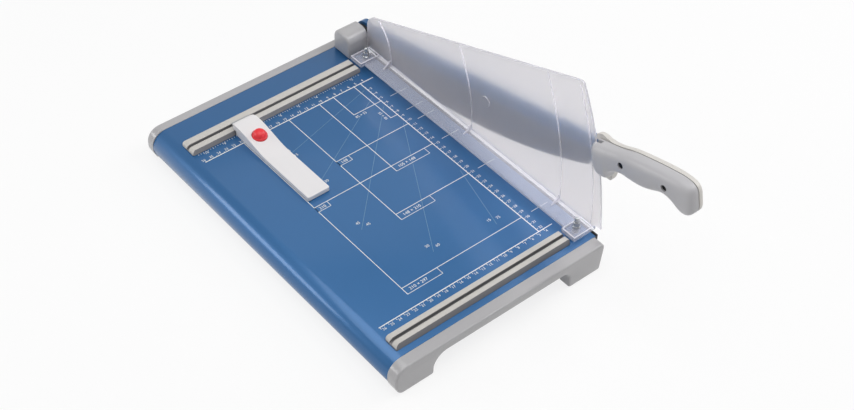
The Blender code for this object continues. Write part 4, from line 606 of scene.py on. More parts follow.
@dataclass
class Bed:
    """What stays still on the desk: table, caps, rails, blade, pivot and studs."""

    reach_left: float = 284.2
    front: float = -380.9
    back: float = 69.7
    height: float = 36.2
    front_cap_depth: float = 14.0
    rear_cap_depth: float = 11.9
    sheet: float = 1.5
    table_right: float = -3.3
    nose_radius: float = 19.0
    fold_degrees: float = 125.0
    cap_right_inset: float = 1.8
    cap_right_draft: float = 5.0
    cap_left_draft: float = 5.0
    beam: float = 12.0
    right_foot: float = 45.0
    left_foot: float = 44.0
    cap_shoulder: float = 6.0
    cap_rim: float = 2.4
    cap_bend_z: float = -24.0
    cap_bend: float = 10.0
    bullnose: float = 16.5
    foot_corner: float = 3.4
    foot_left_corner: float = 7.0
    right_arch: float = 10.0
    left_arch: float = 17.0
    ledge_depth: float = 9.8
    ledge_span: Point = (-4.8, -1.8)
    pocket_depth: float = 8.0
    pocket_wall: float = 3.5
    pocket_floor: float = 6.5
    foot_recess: float = 9.6
    foot_recess_depth: float = 2.3
    front_rail_inset: float = 7.9
    back_rail: tuple[float, ...] = (23.6, 5.5, 2.4, 11.8)
    front_rail: tuple[float, ...] = (19.2, 6.5, 2.4, 10.2)
    rail_span: Point = (-266.0, -32.2)
    rail_corners: tuple[float, ...] = (1.6, 2.4, 2.4, 2.6)
    rail_end_round: float = 3.0
    ridge_round: float = 0.9
    groove_round: float = 0.5
    groove_half: float = 1.9
    groove_depth: float = 5.0
    rail_far_lean: float = 0.7
    knife_thickness: float = 3.0
    knife_height: float = 22.0
    knife_back: float = 21.8
    stud_profile: tuple[Point, ...] = ((0, -14.1), (2.5, -14.1), (2.5, 19.6), (2.3, 20.5),
                                       (1.6, 21.2), (0, 21.5))
    collar_profile: tuple[Point, ...] = ((2.8, 8.6), (4.5, 8.6), (4.5, 9.6), (4.1, 10.0),
                                         (3.5, 10.6), (3.5, 15.2), (3.2, 15.6), (2.8, 15.6))

    def front_inner(self) -> float:
        """Where the front cap meets the table."""
        return self.front + self.front_cap_depth

    def rear_inner(self) -> float:
        """Where the rear cap meets the table."""
        return self.back - self.rear_cap_depth

    def foot_inners(self) -> Point:
        """The inner sides of the right and the left foot."""
        right = -(self.cap_right_inset + self.cap_right_draft + self.right_foot)
        return right, -(self.reach_left - self.cap_left_draft - self.left_foot)

    def table(self, bench: Bench) -> None:
        """The painted sheet, bent down over its left side."""
        bm = bmesh.new()
        start = self.front_inner() + FIT_GAP
        length = self.rear_inner() - FIT_GAP - start
        nose = -(self.reach_left - self.nose_radius)
        right = bm.verts.new((self.table_right, start, 0))
        bend = bm.verts.new((nose, start, 0))
        flat = bm.edges.new((right, bend))
        bmesh.ops.spin(bm, geom=[bend], cent=(nose, start, -self.nose_radius), axis=(0, -1, 0),
                       angle=radians(self.fold_degrees), steps=24)
        push(bm, bmesh.ops.extrude_edge_only(bm, edges=bm.edges), (0, length, 0))
        bmesh.ops.remove_doubles(bm, verts=bm.verts, dist=MERGE)
        for face in bm.faces:
            face.normal_update()
            outward = Vector((0, 0, 1)) if face.calc_center_median().x > nose else \
                face.calc_center_median() - Vector((nose, 0, -self.nose_radius))
            if face.normal.dot(outward) < 0:
                face.normal_flip()
        made = bench.piece("table_sheet", bm, TABLE_PAINT, "bed", ["table_top"])
        wall = made.modifiers.new("sheet", "SOLIDIFY")
        wall.thickness = self.sheet * MILLIMETRE
        wall.offset = -1
        soft_edges(made, 0.25, 2, 40)

    def cap_corners(self) -> list[Corner]:
        """The front view of an end cap: bullnose, two feet and the beam between them."""
        right_inner, left_inner = self.foot_inners()
        low = -self.height
        return [
            (-self.cap_right_inset, 0, self.cap_shoulder),
            (-(self.cap_right_inset + self.cap_right_draft), low, self.foot_corner),
            (right_inner, low, self.foot_corner),
            (right_inner, -self.beam, self.right_arch),
            (left_inner, -self.beam, self.left_arch),
            (left_inner, low, self.foot_corner),
            (-(self.reach_left - self.cap_left_draft), low, self.foot_left_corner),
            (-self.reach_left, self.cap_bend_z, self.cap_bend),
            (-self.reach_left, 0, self.bullnose),
        ]

    def cap(self, bench: Bench, name: str, inner: float, outer: float) -> None:
        """One moulded end of the bed, cored behind, with the ledge under the table.

        Args:
            bench: where it is dressed.
            name: the node that it stands for.
            inner: its face towards the table.
            outer: its face away from the table.
        """
        inward = 1 if inner > outer else -1
        right_inner, left_inner = self.foot_inners()
        bm = slab(self.cap_corners(), Axis.Y, inner, outer, 12)
        soften(bm, Axis.Y, outer, self.cap_rim, 6)
        ledge = sorted((inner - inward * WELD, inner + inward * self.ledge_depth))
        ledge_low, ledge_top = self.ledge_span
        bm = merged(bm, Blend.JOIN, block((left_inner, ledge[0], ledge_low),
                                          (right_inner, ledge[1], ledge_top)))
        near, far = sorted((inner - inward * self.pocket_depth, inner + inward * OVERRUN))
        wall, low = self.pocket_wall, -self.height
        floor = low + self.pocket_floor
        right_end = -(self.cap_right_inset + self.cap_right_draft + wall)
        left_end = -(self.reach_left - self.cap_left_draft - wall)
        middle = (inner + outer) / 2
        feet = [((right_inner + right_end + wall) / 2, middle),
                ((left_inner + left_end - wall) / 2, middle)]
        bm = merged(bm, Blend.CUT,
                    block((right_inner + wall, near, floor), (right_end, far, -self.beam)),
                    block((left_end, near, floor), (left_inner - wall, far, -self.beam)),
                    *[rod(Axis.Z, foot, self.foot_recess, low - OVERRUN,
                          low + self.foot_recess_depth) for foot in feet])
        bench.piece(name + "_moulding", bm, CAP_PLASTIC, "bed", [name], edge=0.35)

    def rail(self, bench: Bench, name: str, foot: float, width: float, height: float,
             slope: float, groove_at: float) -> None:
        """One ruler rail: two ridges with a groove, ramped at its left end.

        Args:
            bench: where it is dressed.
            name: the node that it stands for.
            foot: its front edge on the table.
            width: how deep it is.
            height: how high it stands.
            slope: how far its front side leans back.
            groove_at: the middle of its groove, from its front edge.
        """
        low = FIT_GAP
        half = self.groove_half
        floor = height - self.groove_depth
        ridge, lip = self.ridge_round, self.groove_round
        section = [
            (foot, low, 0), (foot + slope, height, ridge), (foot + groove_at - half, height, lip),
            (foot + groove_at - half, floor, 0), (foot + groove_at + half, floor, 0),
            (foot + groove_at + half, height, lip),
            (foot + width - self.rail_far_lean, height, ridge), (foot + width, low, 0),
        ]
        left, right = self.rail_span
        bm = slab(section, Axis.X, left, right, 4)
        side = [(left, low - OVERRUN, 0), (left, height, height - low),
                (right, height, self.rail_end_round), (right, low - OVERRUN, 0)]
        bm = merged(bm, Blend.KEEP, slab(side, Axis.Y, foot - OVERRUN, foot + width + OVERRUN, 12))
        places = ((left, foot), (right, foot), (right, foot + width), (left, foot + width))
        plan = [(*place, radius) for place, radius in zip(places, self.rail_corners)]
        bm = merged(bm, Blend.KEEP, slab(plan, Axis.Z, low - OVERRUN, height + OVERRUN, 6))
        # The sides and the groove take the second slot, a darker grey of painted shade.
        for face in bm.faces:
            spot = face.calc_center_median()
            in_groove = abs(spot.y - foot - groove_at) < half + WELD and spot.z < height - WELD
            face.material_index = int(in_groove or abs(face.normal.y) > 0.6)
        bench.piece(name + "_moulding", bm, RAIL_PLASTIC, "bed", [name], edge=0.2, segments=2,
                    extra=(RAIL_PAINTED_SHADE_PLASTIC,))

    def pivot_cover(self, bench: Bench) -> None:
        """The grey cover over the pivot block, open below and towards the arm."""
        front, depth, height, wall = 27.0, 29.5, 30.5, 2.2
        left, right, rounding, rim = -29.5, -0.5, 11.5, 2.8

        def side(inset: float, low: float) -> list[Corner]:
            """The side view of the cover, drawn in by an inset."""
            radius = rounding - inset
            return [(front + inset, low, 0), (front + inset, height - inset, radius),
                    (front + depth - inset, height - inset, radius), (front + depth - inset, low, 0)]

        bm = slab(side(0, FIT_GAP), Axis.X, right, left, 12)
        soften(bm, Axis.X, left, rim, 6)
        bm = merged(bm, Blend.CUT, slab(side(wall, -OVERRUN), Axis.X, left + wall,
                                        right + OVERRUN, 8))
        bench.piece("pivot_cover_moulding", bm, CAP_PLASTIC, "bed", ["pivot_cover"], edge=0.3)

    def lower_blade(self, bench: Bench) -> None:
        """The fixed knife along the table edge."""
        bm = block((-self.knife_thickness, self.front_inner() + FIT_GAP, -self.knife_height),
                   (0, self.knife_back, 0))
        bm.normal_update()
        # Every face but the outer one takes the near-black steel of painted shade; the outer face is
        # bare steel.
        for face in bm.faces:
            face.material_index = int(face.normal.x > 0.9)
        bench.piece("lower_knife", bm, KNIFE_PAINTED_SHADE_STEEL, "bed", ["lower_blade"], edge=0.15, segments=2,
                    extra=(BLADE_STEEL,))

    def pivot_stack(self, bench: Bench) -> None:
        """The washers, nut and pin that hold the arm, with grooves for the pin's thread."""
        bore = 5.3
        washer = turned(band(bore, 14.0, -0.2, 3.3), Axis.X, PIVOT, 64, closed=True)
        bench.piece("pivot_friction_washer", washer, BLACK_PLASTIC, "bed", ["friction_washer"],
                    edge=0.25)
        dished = turned([(10.0, 11.8), (bore, 12.8), (bore, 14.0), (10.0, 13.0)], Axis.X,
                        PIVOT, 56, closed=True)
        bench.piece("pivot_dished_washer", dished, STEEL, "bed", ["spring_washer"], edge=0.15)
        corner = 8.0 / cos(pi / 6)
        nut = turned(band(bore, corner, 14.3, 21.3), Axis.X, PIVOT, 6, closed=True)
        bench.piece("pivot_hex_nut", nut, ZINC, "bed", ["pivot_nut"], edge=0.5)
        radius, root, start, end = 5.0, 4.7, -21.0, 23.8
        profile = [(0, start), (radius, start)]
        for groove in range(34, 43):
            profile += [(radius, start + groove), (root, start + 0.5 + groove)]
        profile += [(radius, end - 1.4), (4.4, end - 0.5), (2.8, end - 0.1), (0, end)]
        bench.piece("pivot_stud", turned(profile, Axis.X, PIVOT, 40), STEEL, "bed",
                    ["pivot_pin"], sharp=50)

    def studs(self, bench: Bench) -> None:
        """The two studs of the clear clamp, with their collar nuts."""
        for number, centre in enumerate(STUDS, 1):
            stud = turned(self.stud_profile, Axis.Z, centre, 32)
            bench.piece(f"clamp_guide_stud_{number}", stud, CHROME, "bed",
                        [f"clamp_stud_{number}"], sharp=40)
            collar = turned(self.collar_profile, Axis.Z, centre, 40, closed=True)
            bench.piece(f"clamp_collar_nut_{number}", collar, CHROME, "bed",
                        [f"clamp_stop_nut_{number}"], sharp=35)

    def build(self, bench: Bench) -> None:
        """Build every piece of the bed."""
        self.table(bench)
        self.cap(bench, "front_end_cap", self.front_inner(), self.front)
        self.cap(bench, "rear_end_cap", self.rear_inner(), self.back)
        front = self.front_inner() + self.front_rail_inset
        self.rail(bench, "back_rail", 0.0, *self.back_rail)
        self.rail(bench, "front_rail", front, *self.front_rail)
        self.pivot_cover(bench)
        self.lower_blade(bench)
        self.pivot_stack(bench)
        self.studs(bench)


@dataclass
class PrintedScales:
    """The white marks printed on the table: rulers, paper formats and angles."""

    ruler_x: float = -45.7
    top_y: float = -16.0
    bottom_y: float = -324.3
    left_end: float = -261.0
    right_end: float = -27.0
    ink: float = 0.05
    lift: float = 0.02
    formats: tuple[Point, ...] = ((210, 297), (148, 210), (210, 148), (105, 148), (148, 105),
                                  (85, 55), (55, 85))
    digit: float = 3.4
    frame_width: float = 0.8
    stub: Point = (-32.0, -8.0)
    stub_width: float = 0.7
    boxes: tuple[tuple[Point, float, float], ...] = (
        ((210, 297), 46.5, 10.0), ((148, 210), 46.5, 10.0), ((105, 148), 47.0, 10.0),
        ((148, 105), 16.5, 8.0), ((210, 148), 16.5, 8.0))
    rays: tuple[tuple[int, int], ...] = ((15, 193), (30, 214), (45, 269), (60, 303), (75, 283))
    ray_half: float = 0.22
    ray_digit: float = 3.8
    strokes: list[BMesh] = field(default_factory=list)

    def bar(self, low: Point, high: Point, lift: float = 0.0) -> None:
        """Print one straight bar between two corners."""
        base = self.lift + lift
        self.strokes.append(block((*low, base), (*high, base + self.ink)))

    def across(self, x0: float, x1: float, y: float, width: float) -> None:
        """Print a line along X."""
        self.bar((min(x0, x1), y - width / 2), (max(x0, x1), y + width / 2))

    def along(self, x: float, y0: float, y1: float, width: float) -> None:
        """Print a line along Y, just above those that it crosses."""
        self.bar((x - width / 2, min(y0, y1)), (x + width / 2, max(y0, y1)), 0.004)

    def number(self, text: str, x: float, y: float, size: float, turn: float = 0.0) -> None:
        """Print a number with its lower left corner at a place.

        Args:
            text: what it says.
            x: its left end.
            y: its foot.
            size: how tall its digits are.
            turn: how far it is turned, in degrees.
        """
        line = bpy.data.curves.new("number", "FONT")
        line.body = text
        line.size = size / 0.73
        line.extrude = self.ink / 2
        line.resolution_u = 3
        held = shown("number", line)
        graph = bpy.context.evaluated_depsgraph_get()
        mesh = bpy.data.meshes.new_from_object(held.evaluated_get(graph))
        bm = bmesh.new()
        bm.from_mesh(mesh)
        bmesh.ops.remove_doubles(bm, verts=bm.verts, dist=MERGE)
        lay = Matrix.Translation((x, y, self.lift + self.ink / 2)) @ Matrix.Rotation(
            radians(turn), 4, "Z")
        bmesh.ops.transform(bm, matrix=lay, verts=bm.verts)
        self.strokes.append(bm)
        bpy.data.objects.remove(held, do_unlink=True)
        bpy.data.curves.remove(line)
        bpy.data.meshes.remove(mesh)

    def rulers(self) -> None:
        """The centimetre rulers along the back, the blade and the front, and the inch ruler."""
        heavy, tick, long_tick, short_tick = 1.1, 0.45, 3.0, 1.6
        half_digit, gap, beside = 1.6, 2.2, 0.7
        self.across(self.left_end, self.right_end, self.top_y, heavy)
        self.across(self.left_end, self.right_end, self.bottom_y, heavy)
        self.along(self.ruler_x, self.bottom_y, self.top_y, heavy)
        for half in range(8, 53):
            x = -5.0 * half
            length = long_tick if half % 2 == 0 else short_tick
            self.along(x, self.top_y, self.top_y + short_tick, tick)
            self.along(x, self.bottom_y, self.bottom_y - length, tick)
            if half % 2 == 0:
                text = str(half // 2)
                self.number(text, x - half_digit * len(text), self.top_y + gap, self.digit)
                self.number(text, x + beside, self.bottom_y - gap - self.digit, self.digit)
        for half in range(5, 65):
            y = -5.0 * half
            length = long_tick if half % 2 == 0 else short_tick
            self.across(self.ruler_x, self.ruler_x + length, y, tick)
            if half % 2 == 0:
                self.number(str(half // 2), self.ruler_x + long_tick + 0.6, y - self.digit / 2,
                            self.digit)
        inch = 25.4
        for eighth in range(12, 83):
            x = -inch * eighth / 8
            length = 3.4 if eighth % 8 == 0 else 2.4 if eighth % 4 == 0 else 1.5
            self.along(x, -0.8, -0.8 - length, tick)
            if eighth % 8 == 0:
                self.number(str(eighth // 8), x + 0.8, -1.9 - self.digit, self.digit)

    def format_frames(self) -> None:
        """The corners of common paper sizes, measured from the cutting edge and the stop."""
        width = self.frame_width
        deepest: dict[float, float] = {}
        widest: dict[float, float] = {}
        for wide, deep in self.formats:
            deepest[wide] = max(deep, deepest.get(wide, 0.0))
            widest[deep] = max(wide, widest.get(deep, 0.0))
        for wide, deep in deepest.items():
            self.along(-wide, self.top_y, -deep - width / 2, width)
        for deep, wide in widest.items():
            self.across(-wide - width / 2, self.ruler_x, -deep, width)
            self.across(*self.stub, -deep, self.stub_width)

    def labels(self) -> None:
        """Boxes under the format lines, with the size in plain numbers."""
        thin = 0.6
        for (wide, deep), length, tall in self.boxes:
            self.along(-wide, -deep - 0.4, -deep - tall, self.frame_width)
            self.across(-wide, -wide + length, -deep - tall, thin)
            self.along(-wide + length, -deep - 0.4, -deep - tall, thin)
            text = f"{wide} × {deep}" if length > 20 else str(wide)
            self.number(text, -wide + (6.0 if length > 20 else 3.6), -deep - tall / 2 - 2.2, 4.2)
        self.number("85 × 55", -86.0, -61.5, 3.6)
        self.number("55 × 85", -61.6, -69.0, 3.6, -90.0)

    def angles(self) -> BMesh:
        """Faint lines that fan out from the corner, for cuts at an angle."""
        centre = Vector((0, -15.0, 0))
        fan = []
        for degrees, reach in self.rays:
            way = Vector((-cos(radians(degrees)), -sin(radians(degrees)), 0))
            start = -(self.ruler_x - 4.0) / cos(radians(degrees))
            length = reach - start
            ray = block((0, -self.ray_half, self.lift),
                        (length, self.ray_half, self.lift + self.ink / 2))
            lay = Matrix.Translation(centre + way * start) @ Matrix.Rotation(
                radians(180 + degrees), 4, "Z")
            bmesh.ops.transform(ray, matrix=lay, verts=ray.verts)
            fan.append(ray)
            side = Vector((way.y, -way.x, 0))
            for text, aside in ((str(degrees), -5.6), (str(90 - degrees), 5.6)):
                spot = centre + way * (reach - 9.0) + side * aside
                self.number(text, spot.x - 2.4, spot.y - 1.9, self.ray_digit)
        return gathered(fan)

    def build(self, bench: Bench) -> None:
        """Print everything."""
        self.rulers()
        self.format_frames()
        self.labels()
        fan = self.angles()
        bench.piece("table_scales", gathered(self.strokes), INK, "bed")
        bench.piece("table_angle_lines", fan, FAINT_INK, "bed")


@dataclass
class Guard:
    """The clear moulding: clamp strip, end blocks, guard wall, ribs and gussets."""

    face: float = -3.0
    right: float = -0.6
    back: float = 25.0
    top_at_back: float = 53.0
    slope_degrees: float = 20.7
    nose: float = 408.3
    nose_top: float = 399.1
    nose_curve: float = 0.7
    front: float = -362.3
    strip_back: float = 21.5
    strip_left: float = -25.5
    strip_low: float = 5.3
    strip_top: float = 8.3
    rim_height: float = 12.5
    rib: float = 1.4
    ribs: tuple[float, ...] = (56.5, 201.0, 345.5)
    back_round: float = 17.0
    tip_round: float = 5.0
    tip_clear: float = 12.0
    proud: float = 1.2
    rim_inset: float = 15.0
    rim_below: float = 6.0
    fillet: float = 2.2
    block_left: float = -31.0
    block_depth: float = 20.0
    block_height: float = 5.0
    block_wall: float = 1.5
    block_floor: float = 3.0
    gusset_rise: float = 10.0
    gusset_reach: float = 12.5
    gusset_half: float = 0.8
    stud_bore: float = 2.8
    spring_bore: float = 5.1
    spring_seat: float = 1.5
    disc_place: Point = (-185.8, 65.0)
    disc_profile: tuple[Point, Point] = ((6.2, -0.3), (5.7, -0.8))

    def top(self, y: float) -> float:
        """Height of the sloping top edge at a place along the table."""
        return self.top_at_back + (self.back - y) * tan(radians(self.slope_degrees))

    def about(self, radius: float, angle: float) -> Point:
        """A point of the side view, seen from the arm's pivot."""
        return PIVOT[0] - radius * cos(angle), PIVOT[1] + radius * sin(angle)

    def rise(self, radius: float, below: float) -> float:
        """The angle at which an arc about the pivot meets the top edge."""
        angle = 0.0
        for _ in range(16):
            y = self.about(radius, angle)[0]
            angle = atan2(self.top(y) - below - PIVOT[1], PIVOT[0] - y)
            angle = angle if radius > 80 else min(angle, 1.2)
        return angle

    def side(self) -> list[Corner]:
        """The side view of the wall: a fan about the arm's pivot."""
        start = atan2(self.rim_height - PIVOT[1], self.nose)
        end = self.rise(self.nose_top, 0.0)
        steps = 30
        nose = []
        for step in range(steps + 1):
            share = step / steps
            radius = self.nose + (self.nose_top - self.nose) * share ** self.nose_curve
            nose.append((*self.about(radius, start + (end - start) * share), 0.0))
        tip = (*nose[-1][:2], self.tip_round)
        inside = [spot for spot in nose
                  if hypot(spot[0] - tip[0], spot[1] - tip[1]) > self.tip_clear]
        low = self.strip_top - WELD
        return [(self.back, low, 0), (self.back, self.top(self.back), self.back_round), tip,
                *inside[::-1], (self.front, self.rim_height, 0), (self.front, low, 0)]

    def arc_rib(self, radius: float, low: float, below: float, left: float) -> BMesh:
        """A raised rib on an arc about the pivot, from a height up to the top edge.

        Args:
            radius: its inner radius.
            low: the height at which it starts.
            below: how far below the top edge it ends.
            left: how far it stands out of the wall.

        Returns:
            The rib.
        """
        bm = bmesh.new()
        start = atan2(low - PIVOT[1], radius)
        angle = self.rise(radius, below) - start
        right, far = self.face + WELD, radius + self.rib
        corners = [(left, radius), (right, radius), (right, far), (left, far)]
        verts = [bm.verts.new((x, *self.about(r, start))) for x, r in corners]
        face = bm.faces.new(verts)
        bmesh.ops.spin(bm, geom=[face], cent=(0, *PIVOT), axis=(-1, 0, 0), angle=angle,
                       steps=24)
        bmesh.ops.remove_doubles(bm, verts=bm.verts, dist=MERGE)
        close(bm)
        return bm

    def build(self, bench: Bench) -> None:
        """Mould the guard in one piece and tell its wall, strip and edges apart."""
        bm = slab(self.side(), Axis.X, self.face, self.right, 12)
        bm = merged(bm, Blend.JOIN, block((self.strip_left, self.front, self.strip_low),
                                          (self.right, self.strip_back, self.strip_top)))
        inside, low = self.face + WELD, self.strip_top - WELD
        foot = [(inside, low, 0), (inside, self.strip_top + self.fillet + WELD, 0),
                (self.face - self.fillet - WELD, low, 0)]
        bm = merged(bm, Blend.JOIN, slab(foot, Axis.Y, self.front + WELD, self.strip_back - WELD))
        ends = ((self.strip_back - self.block_depth, self.strip_back),
                (self.front, self.front + self.block_depth))
        bm = merged(bm, Blend.JOIN, *[block((self.block_left, near, self.strip_low),
                                            (inside, far, self.strip_low + self.block_height))
                                      for near, far in ends])
        left = self.face - self.proud
        bm = merged(bm, Blend.JOIN, self.arc_rib(self.nose - self.rim_inset, self.rim_height,
                                                 self.rim_below, left))
        for radius in self.ribs:
            bm = merged(bm, Blend.JOIN, self.arc_rib(radius, low, self.rib, left))
            y = PIVOT[0] - radius - self.rib / 2
            web = [(inside, low, 0), (inside, low + self.gusset_rise, 0),
                   (self.face, low + self.gusset_rise, 0), (self.face - self.gusset_reach, low, 0)]
            bm = merged(bm, Blend.JOIN, slab(web, Axis.Y, y - self.gusset_half,
                                             y + self.gusset_half))
        wall, floor = self.block_wall, self.strip_low + self.block_floor
        top = self.strip_low + self.block_height + OVERRUN
        bm = merged(bm, Blend.CUT, *[block((self.block_left + wall, near + wall, floor),
                                           (self.face - wall, far - wall, top))
                                     for near, far in ends])
        bore = stepped(self.spring_bore, self.stud_bore, self.strip_low - OVERRUN,
                       self.strip_low + self.spring_seat, top)
        bm = merged(bm, Blend.CUT, *[turned(bore, Axis.Z, centre, 40) for centre in STUDS])
        disc = [(0, inside), (self.disc_profile[0][0], inside),
                *[(radius, self.face + depth) for radius, depth in self.disc_profile],
                (0, self.face + self.disc_profile[1][1])]
        bm = merged(bm, Blend.JOIN, turned(disc, Axis.X, self.disc_place, 40))
        self.mark_faces(bm)
        # Its softened edges take slot 2, the whiter plastic of painted highlight.
        bench.piece("clear_guard", bm, CLEAR_WALL, "clamp", ["clamp_guard"], edge=0.45,
                    extra=(CLEAR_STRIP, CLEAR_RIM_PAINTED_HIGHLIGHT), edge_slot=2)

    def mark_faces(self, bm: BMesh) -> None:
        """Give the strip its own finish and the moulding's narrow edges a whiter painted highlight.
        """
        bm.normal_update()
        for face in bm.faces:
            middle = face.calc_center_median()
            sideways = abs(face.normal.x) > 0.9
            if middle.z > self.strip_top + 0.5:
                face.material_index = 0 if sideways else 2
            elif sideways and face.normal.x > 0 and middle.x > self.face:
                face.material_index = 0
            else:
                at_side = sideways and abs(middle.x - self.strip_left) < WELD
                face.material_index = 2 if at_side else 1
        weight = bm.edges.layers.float.new(CONVEX)
        for edge in bm.edges:
            if edge.is_convex and edge.calc_face_angle(0.0) > radians(30):
                edge[weight] = 1.0


@dataclass
class Arm:
    """The lifted arm: channel, knife and the two halves of its handle."""

    lift_degrees: float = 12.6
    face: float = 3.6
    depth: float = 7.9
    web: float = 3.0
    flange: float = 2.5
    top: float = 17.5
    bottom: float = 12.0
    end: float = 395.5
    tang_end: float = 513.0
    knife_start: float = 18.5
    knife_end: float = 385.5
    handle_start: float = 401.5
    handle_rear_start: float = 396.2
    handle_length: float = 133.8
    handle_height: float = 30.0
    screw_reaches: Point = (443.0, 502.3)
    screw_height: float = 12.8
    seam_gap: float = 1.1
    boss: float = 22.0
    boss_bore: float = 15.2
    tang_low: float = 7.5
    tang_round: float = 4.0
    tang_lap: float = 5.0
    knife_curve: float = 746.6
    knife_drop: float = 40.3
    knife_middle: float = 193.9
    knife_top: float = 4.0
    knife_thickness: float = 3.0
    near_width: float = 14.8
    far_width: float = 10.6
    far_bump: float = 5.0
    far_drop: float = 11.0
    top_power: float = 0.66
    bottom_power: float = 0.44
    rim_slot: Point = (-3.8, -410.1)
    screw_head: float = 3.7
    screw_bore: float = 2.3
    screw_sink: float = 4.0
    screw_bite: float = 7.1
    tang_pocket: Point = (6.9, 18.1)
    sections: tuple[tuple[float, ...], ...] = (
        (0.000, 0.700, -0.200, 0.86, 0.60, 0.30),
        (0.021, 0.730, -0.360, 0.96, 0.85, 0.55),
        (0.041, 0.740, -0.450, 1.00, 1.00, 0.80),
        (0.064, 0.746, -0.485, 1.00, 0.95, 0.95),
        (0.090, 0.749, -0.495, 1.00, 0.75, 1.00),
        (0.112, 0.752, -0.495, 1.00, 0.45, 1.00),
        (0.127, 0.753, -0.480, 0.99, 0.36, 0.85),
        (0.136, 0.754, -0.430, 0.98, 0.28, 0.50),
        (0.142, 0.755, -0.330, 0.97, 0.20, 0.15),
        (0.152, 0.757, -0.230, 0.95, 0.08, 0.00),
        (0.172, 0.760, -0.150, 0.92, 0.00, 0.00),
        (0.209, 0.766, -0.080, 0.89, 0.00, 0.00),
        (0.262, 0.790, -0.020, 0.87, 0.00, 0.00),
        (0.314, 0.835, 0.000, 0.88, 0.00, 0.00),
        (0.374, 0.882, -0.030, 0.92, 0.00, 0.00),
        (0.448, 0.908, -0.060, 0.95, 0.00, 0.00),
        (0.538, 0.922, -0.055, 0.96, 0.00, 0.00),
        (0.620, 0.930, 0.010, 0.95, 0.00, 0.00),
        (0.695, 0.933, 0.095, 0.93, 0.00, 0.00),
        (0.759, 0.930, 0.080, 0.92, 0.00, 0.00),
        (0.821, 0.922, -0.060, 0.92, 0.00, 0.00),
        (0.878, 0.900, -0.270, 0.91, 0.00, 0.00),
        (0.919, 0.865, -0.345, 0.88, 0.00, 0.00),
        (0.953, 0.810, -0.335, 0.82, 0.00, 0.00),
        (0.979, 0.725, -0.255, 0.70, 0.00, 0.00),
        (0.994, 0.630, -0.150, 0.50, 0.00, 0.00),
        (1.000, 0.520, -0.030, 0.28, 0.00, 0.00),
    )

    def raised(self) -> Matrix:
        """From the closed arm's own place to where it rests, lifted about its pivot."""
        return Matrix.Translation((0, *PIVOT)) @ Matrix.Rotation(
            -radians(self.lift_degrees), 4, "X")

    def channel(self, bench: Bench) -> None:
        """The pressed blue arm: a web with a flange all round, a pivot boss and a tang."""
        outer = self.face + self.depth

        def side(inset: float) -> list[Corner]:
            """The side view of the channel, drawn in by an inset."""
            radius = self.top - inset
            under = -self.bottom + inset
            far = -(self.end - inset)
            return [(far, radius, 0), (radius, radius, radius - 0.01),
                    (radius, -radius, radius - 0.01), (-0.5, -radius, 0),
                    (-(radius + self.top), under, 0), (far, under, 0)]

        bm = slab(side(0), Axis.X, self.face, outer, 16)
        bm = merged(bm, Blend.CUT, slab(side(self.flange), Axis.X, self.face + self.web,
                                        outer + OVERRUN, 16))
        lap, high, inner = -(self.end - self.tang_lap), self.top - WELD, self.face + self.web
        tang = [(lap, high, 0), (-self.tang_end, high, self.tang_round),
                (-self.tang_end, self.tang_low, self.tang_round), (lap, self.tang_low, 0)]
        bm = merged(bm, Blend.JOIN, slab(tang, Axis.X, self.face, inner))
        bm = merged(bm, Blend.JOIN, rod(Axis.X, (0, 0), self.boss, inner - WELD, outer, 48))
        bm = merged(bm, Blend.CUT, rod(Axis.X, (0, 0), self.boss_bore, self.face - OVERRUN,
                                       outer + OVERRUN, 48))
        bench.piece("arm_channel", bm, ARM_PAINT, "arm", ["blade_arm"], edge=0.5,
                    place=self.raised())

    def knife(self, bench: Bench) -> None:
        """The knife of the arm, with its curved cutting edge."""
        curve, steps = self.knife_curve, 48
        edge = []
        for step in range(steps + 1):
            reach = self.knife_start + (self.knife_end - self.knife_start) * step / steps
            rise = curve - sqrt(curve ** 2 - (reach - self.knife_middle) ** 2)
            edge.append((-reach, rise - self.knife_drop, 0.0))
        corners = edge + [(-self.knife_end, self.knife_top, 0.0),
                          (-self.knife_start, self.knife_top, 0.0)]
        bm = slab(corners, Axis.X, FIT_GAP, FIT_GAP + self.knife_thickness)
        bench.piece("arm_knife", bm, BLADE_STEEL, "arm", ["upper_blade"], edge=0.3, segments=2,
                    place=self.raised())

    def half(self, side: int, start: float, width: float, bump: float,
             drop: float) -> BMesh:
        """Loft one half of the handle through its sections, flat at the seam.

        Args:
            side: -1 towards the user's left, 1 away from the table.
            start: the reach at which it starts.
            width: how far it stands out of the seam.
            bump: how far its near end swells up.
            drop: how far its finger stop reaches further down.

        Returns:
            The half.
        """
        bm = bmesh.new()
        around = 40
        seam = self.face if side > 0 else self.face - self.seam_gap
        share = (start - self.handle_start) / self.handle_length
        rings = []
        for along, high, low, wide, swell, sink in self.smooth_sections():
            reach = self.handle_start + self.handle_length * (share + along * (1 - share))
            top = self.handle_height * high + bump * swell
            foot = self.handle_height * low - drop * sink
            ring = bmesh.ops.create_circle(bm, segments=around, radius=1)["verts"]
            for vert in ring:
                flat = Vector((vert.co.x, vert.co.y))
                power = self.top_power if flat.y > 0 else self.bottom_power
                out = abs(flat.x) ** power * width * wide * (1 if flat.x > 0 else -1)
                up = abs(flat.y) ** power * (top - foot) / 2 * (1 if flat.y > 0 else -1)
                vert.co = (seam + out, -reach, (top + foot) / 2 + up)
            rings.append(ring)
        for one, other in zip(rings, rings[1:]):
            edges = {edge for vert in (*one, *other) for edge in vert.link_edges
                     if (edge.verts[0] in one) == (edge.verts[1] in one)}
            bmesh.ops.bridge_loops(bm, edges=[edge for edge in edges if len(edge.link_faces) < 2])
        close(bm)
        bmesh.ops.bisect_plane(bm, geom=[*bm.verts, *bm.edges, *bm.faces], dist=MERGE,
                               plane_co=(seam, 0, 0), plane_no=(-side, 0, 0), clear_outer=True)
        close(bm)
        return bm

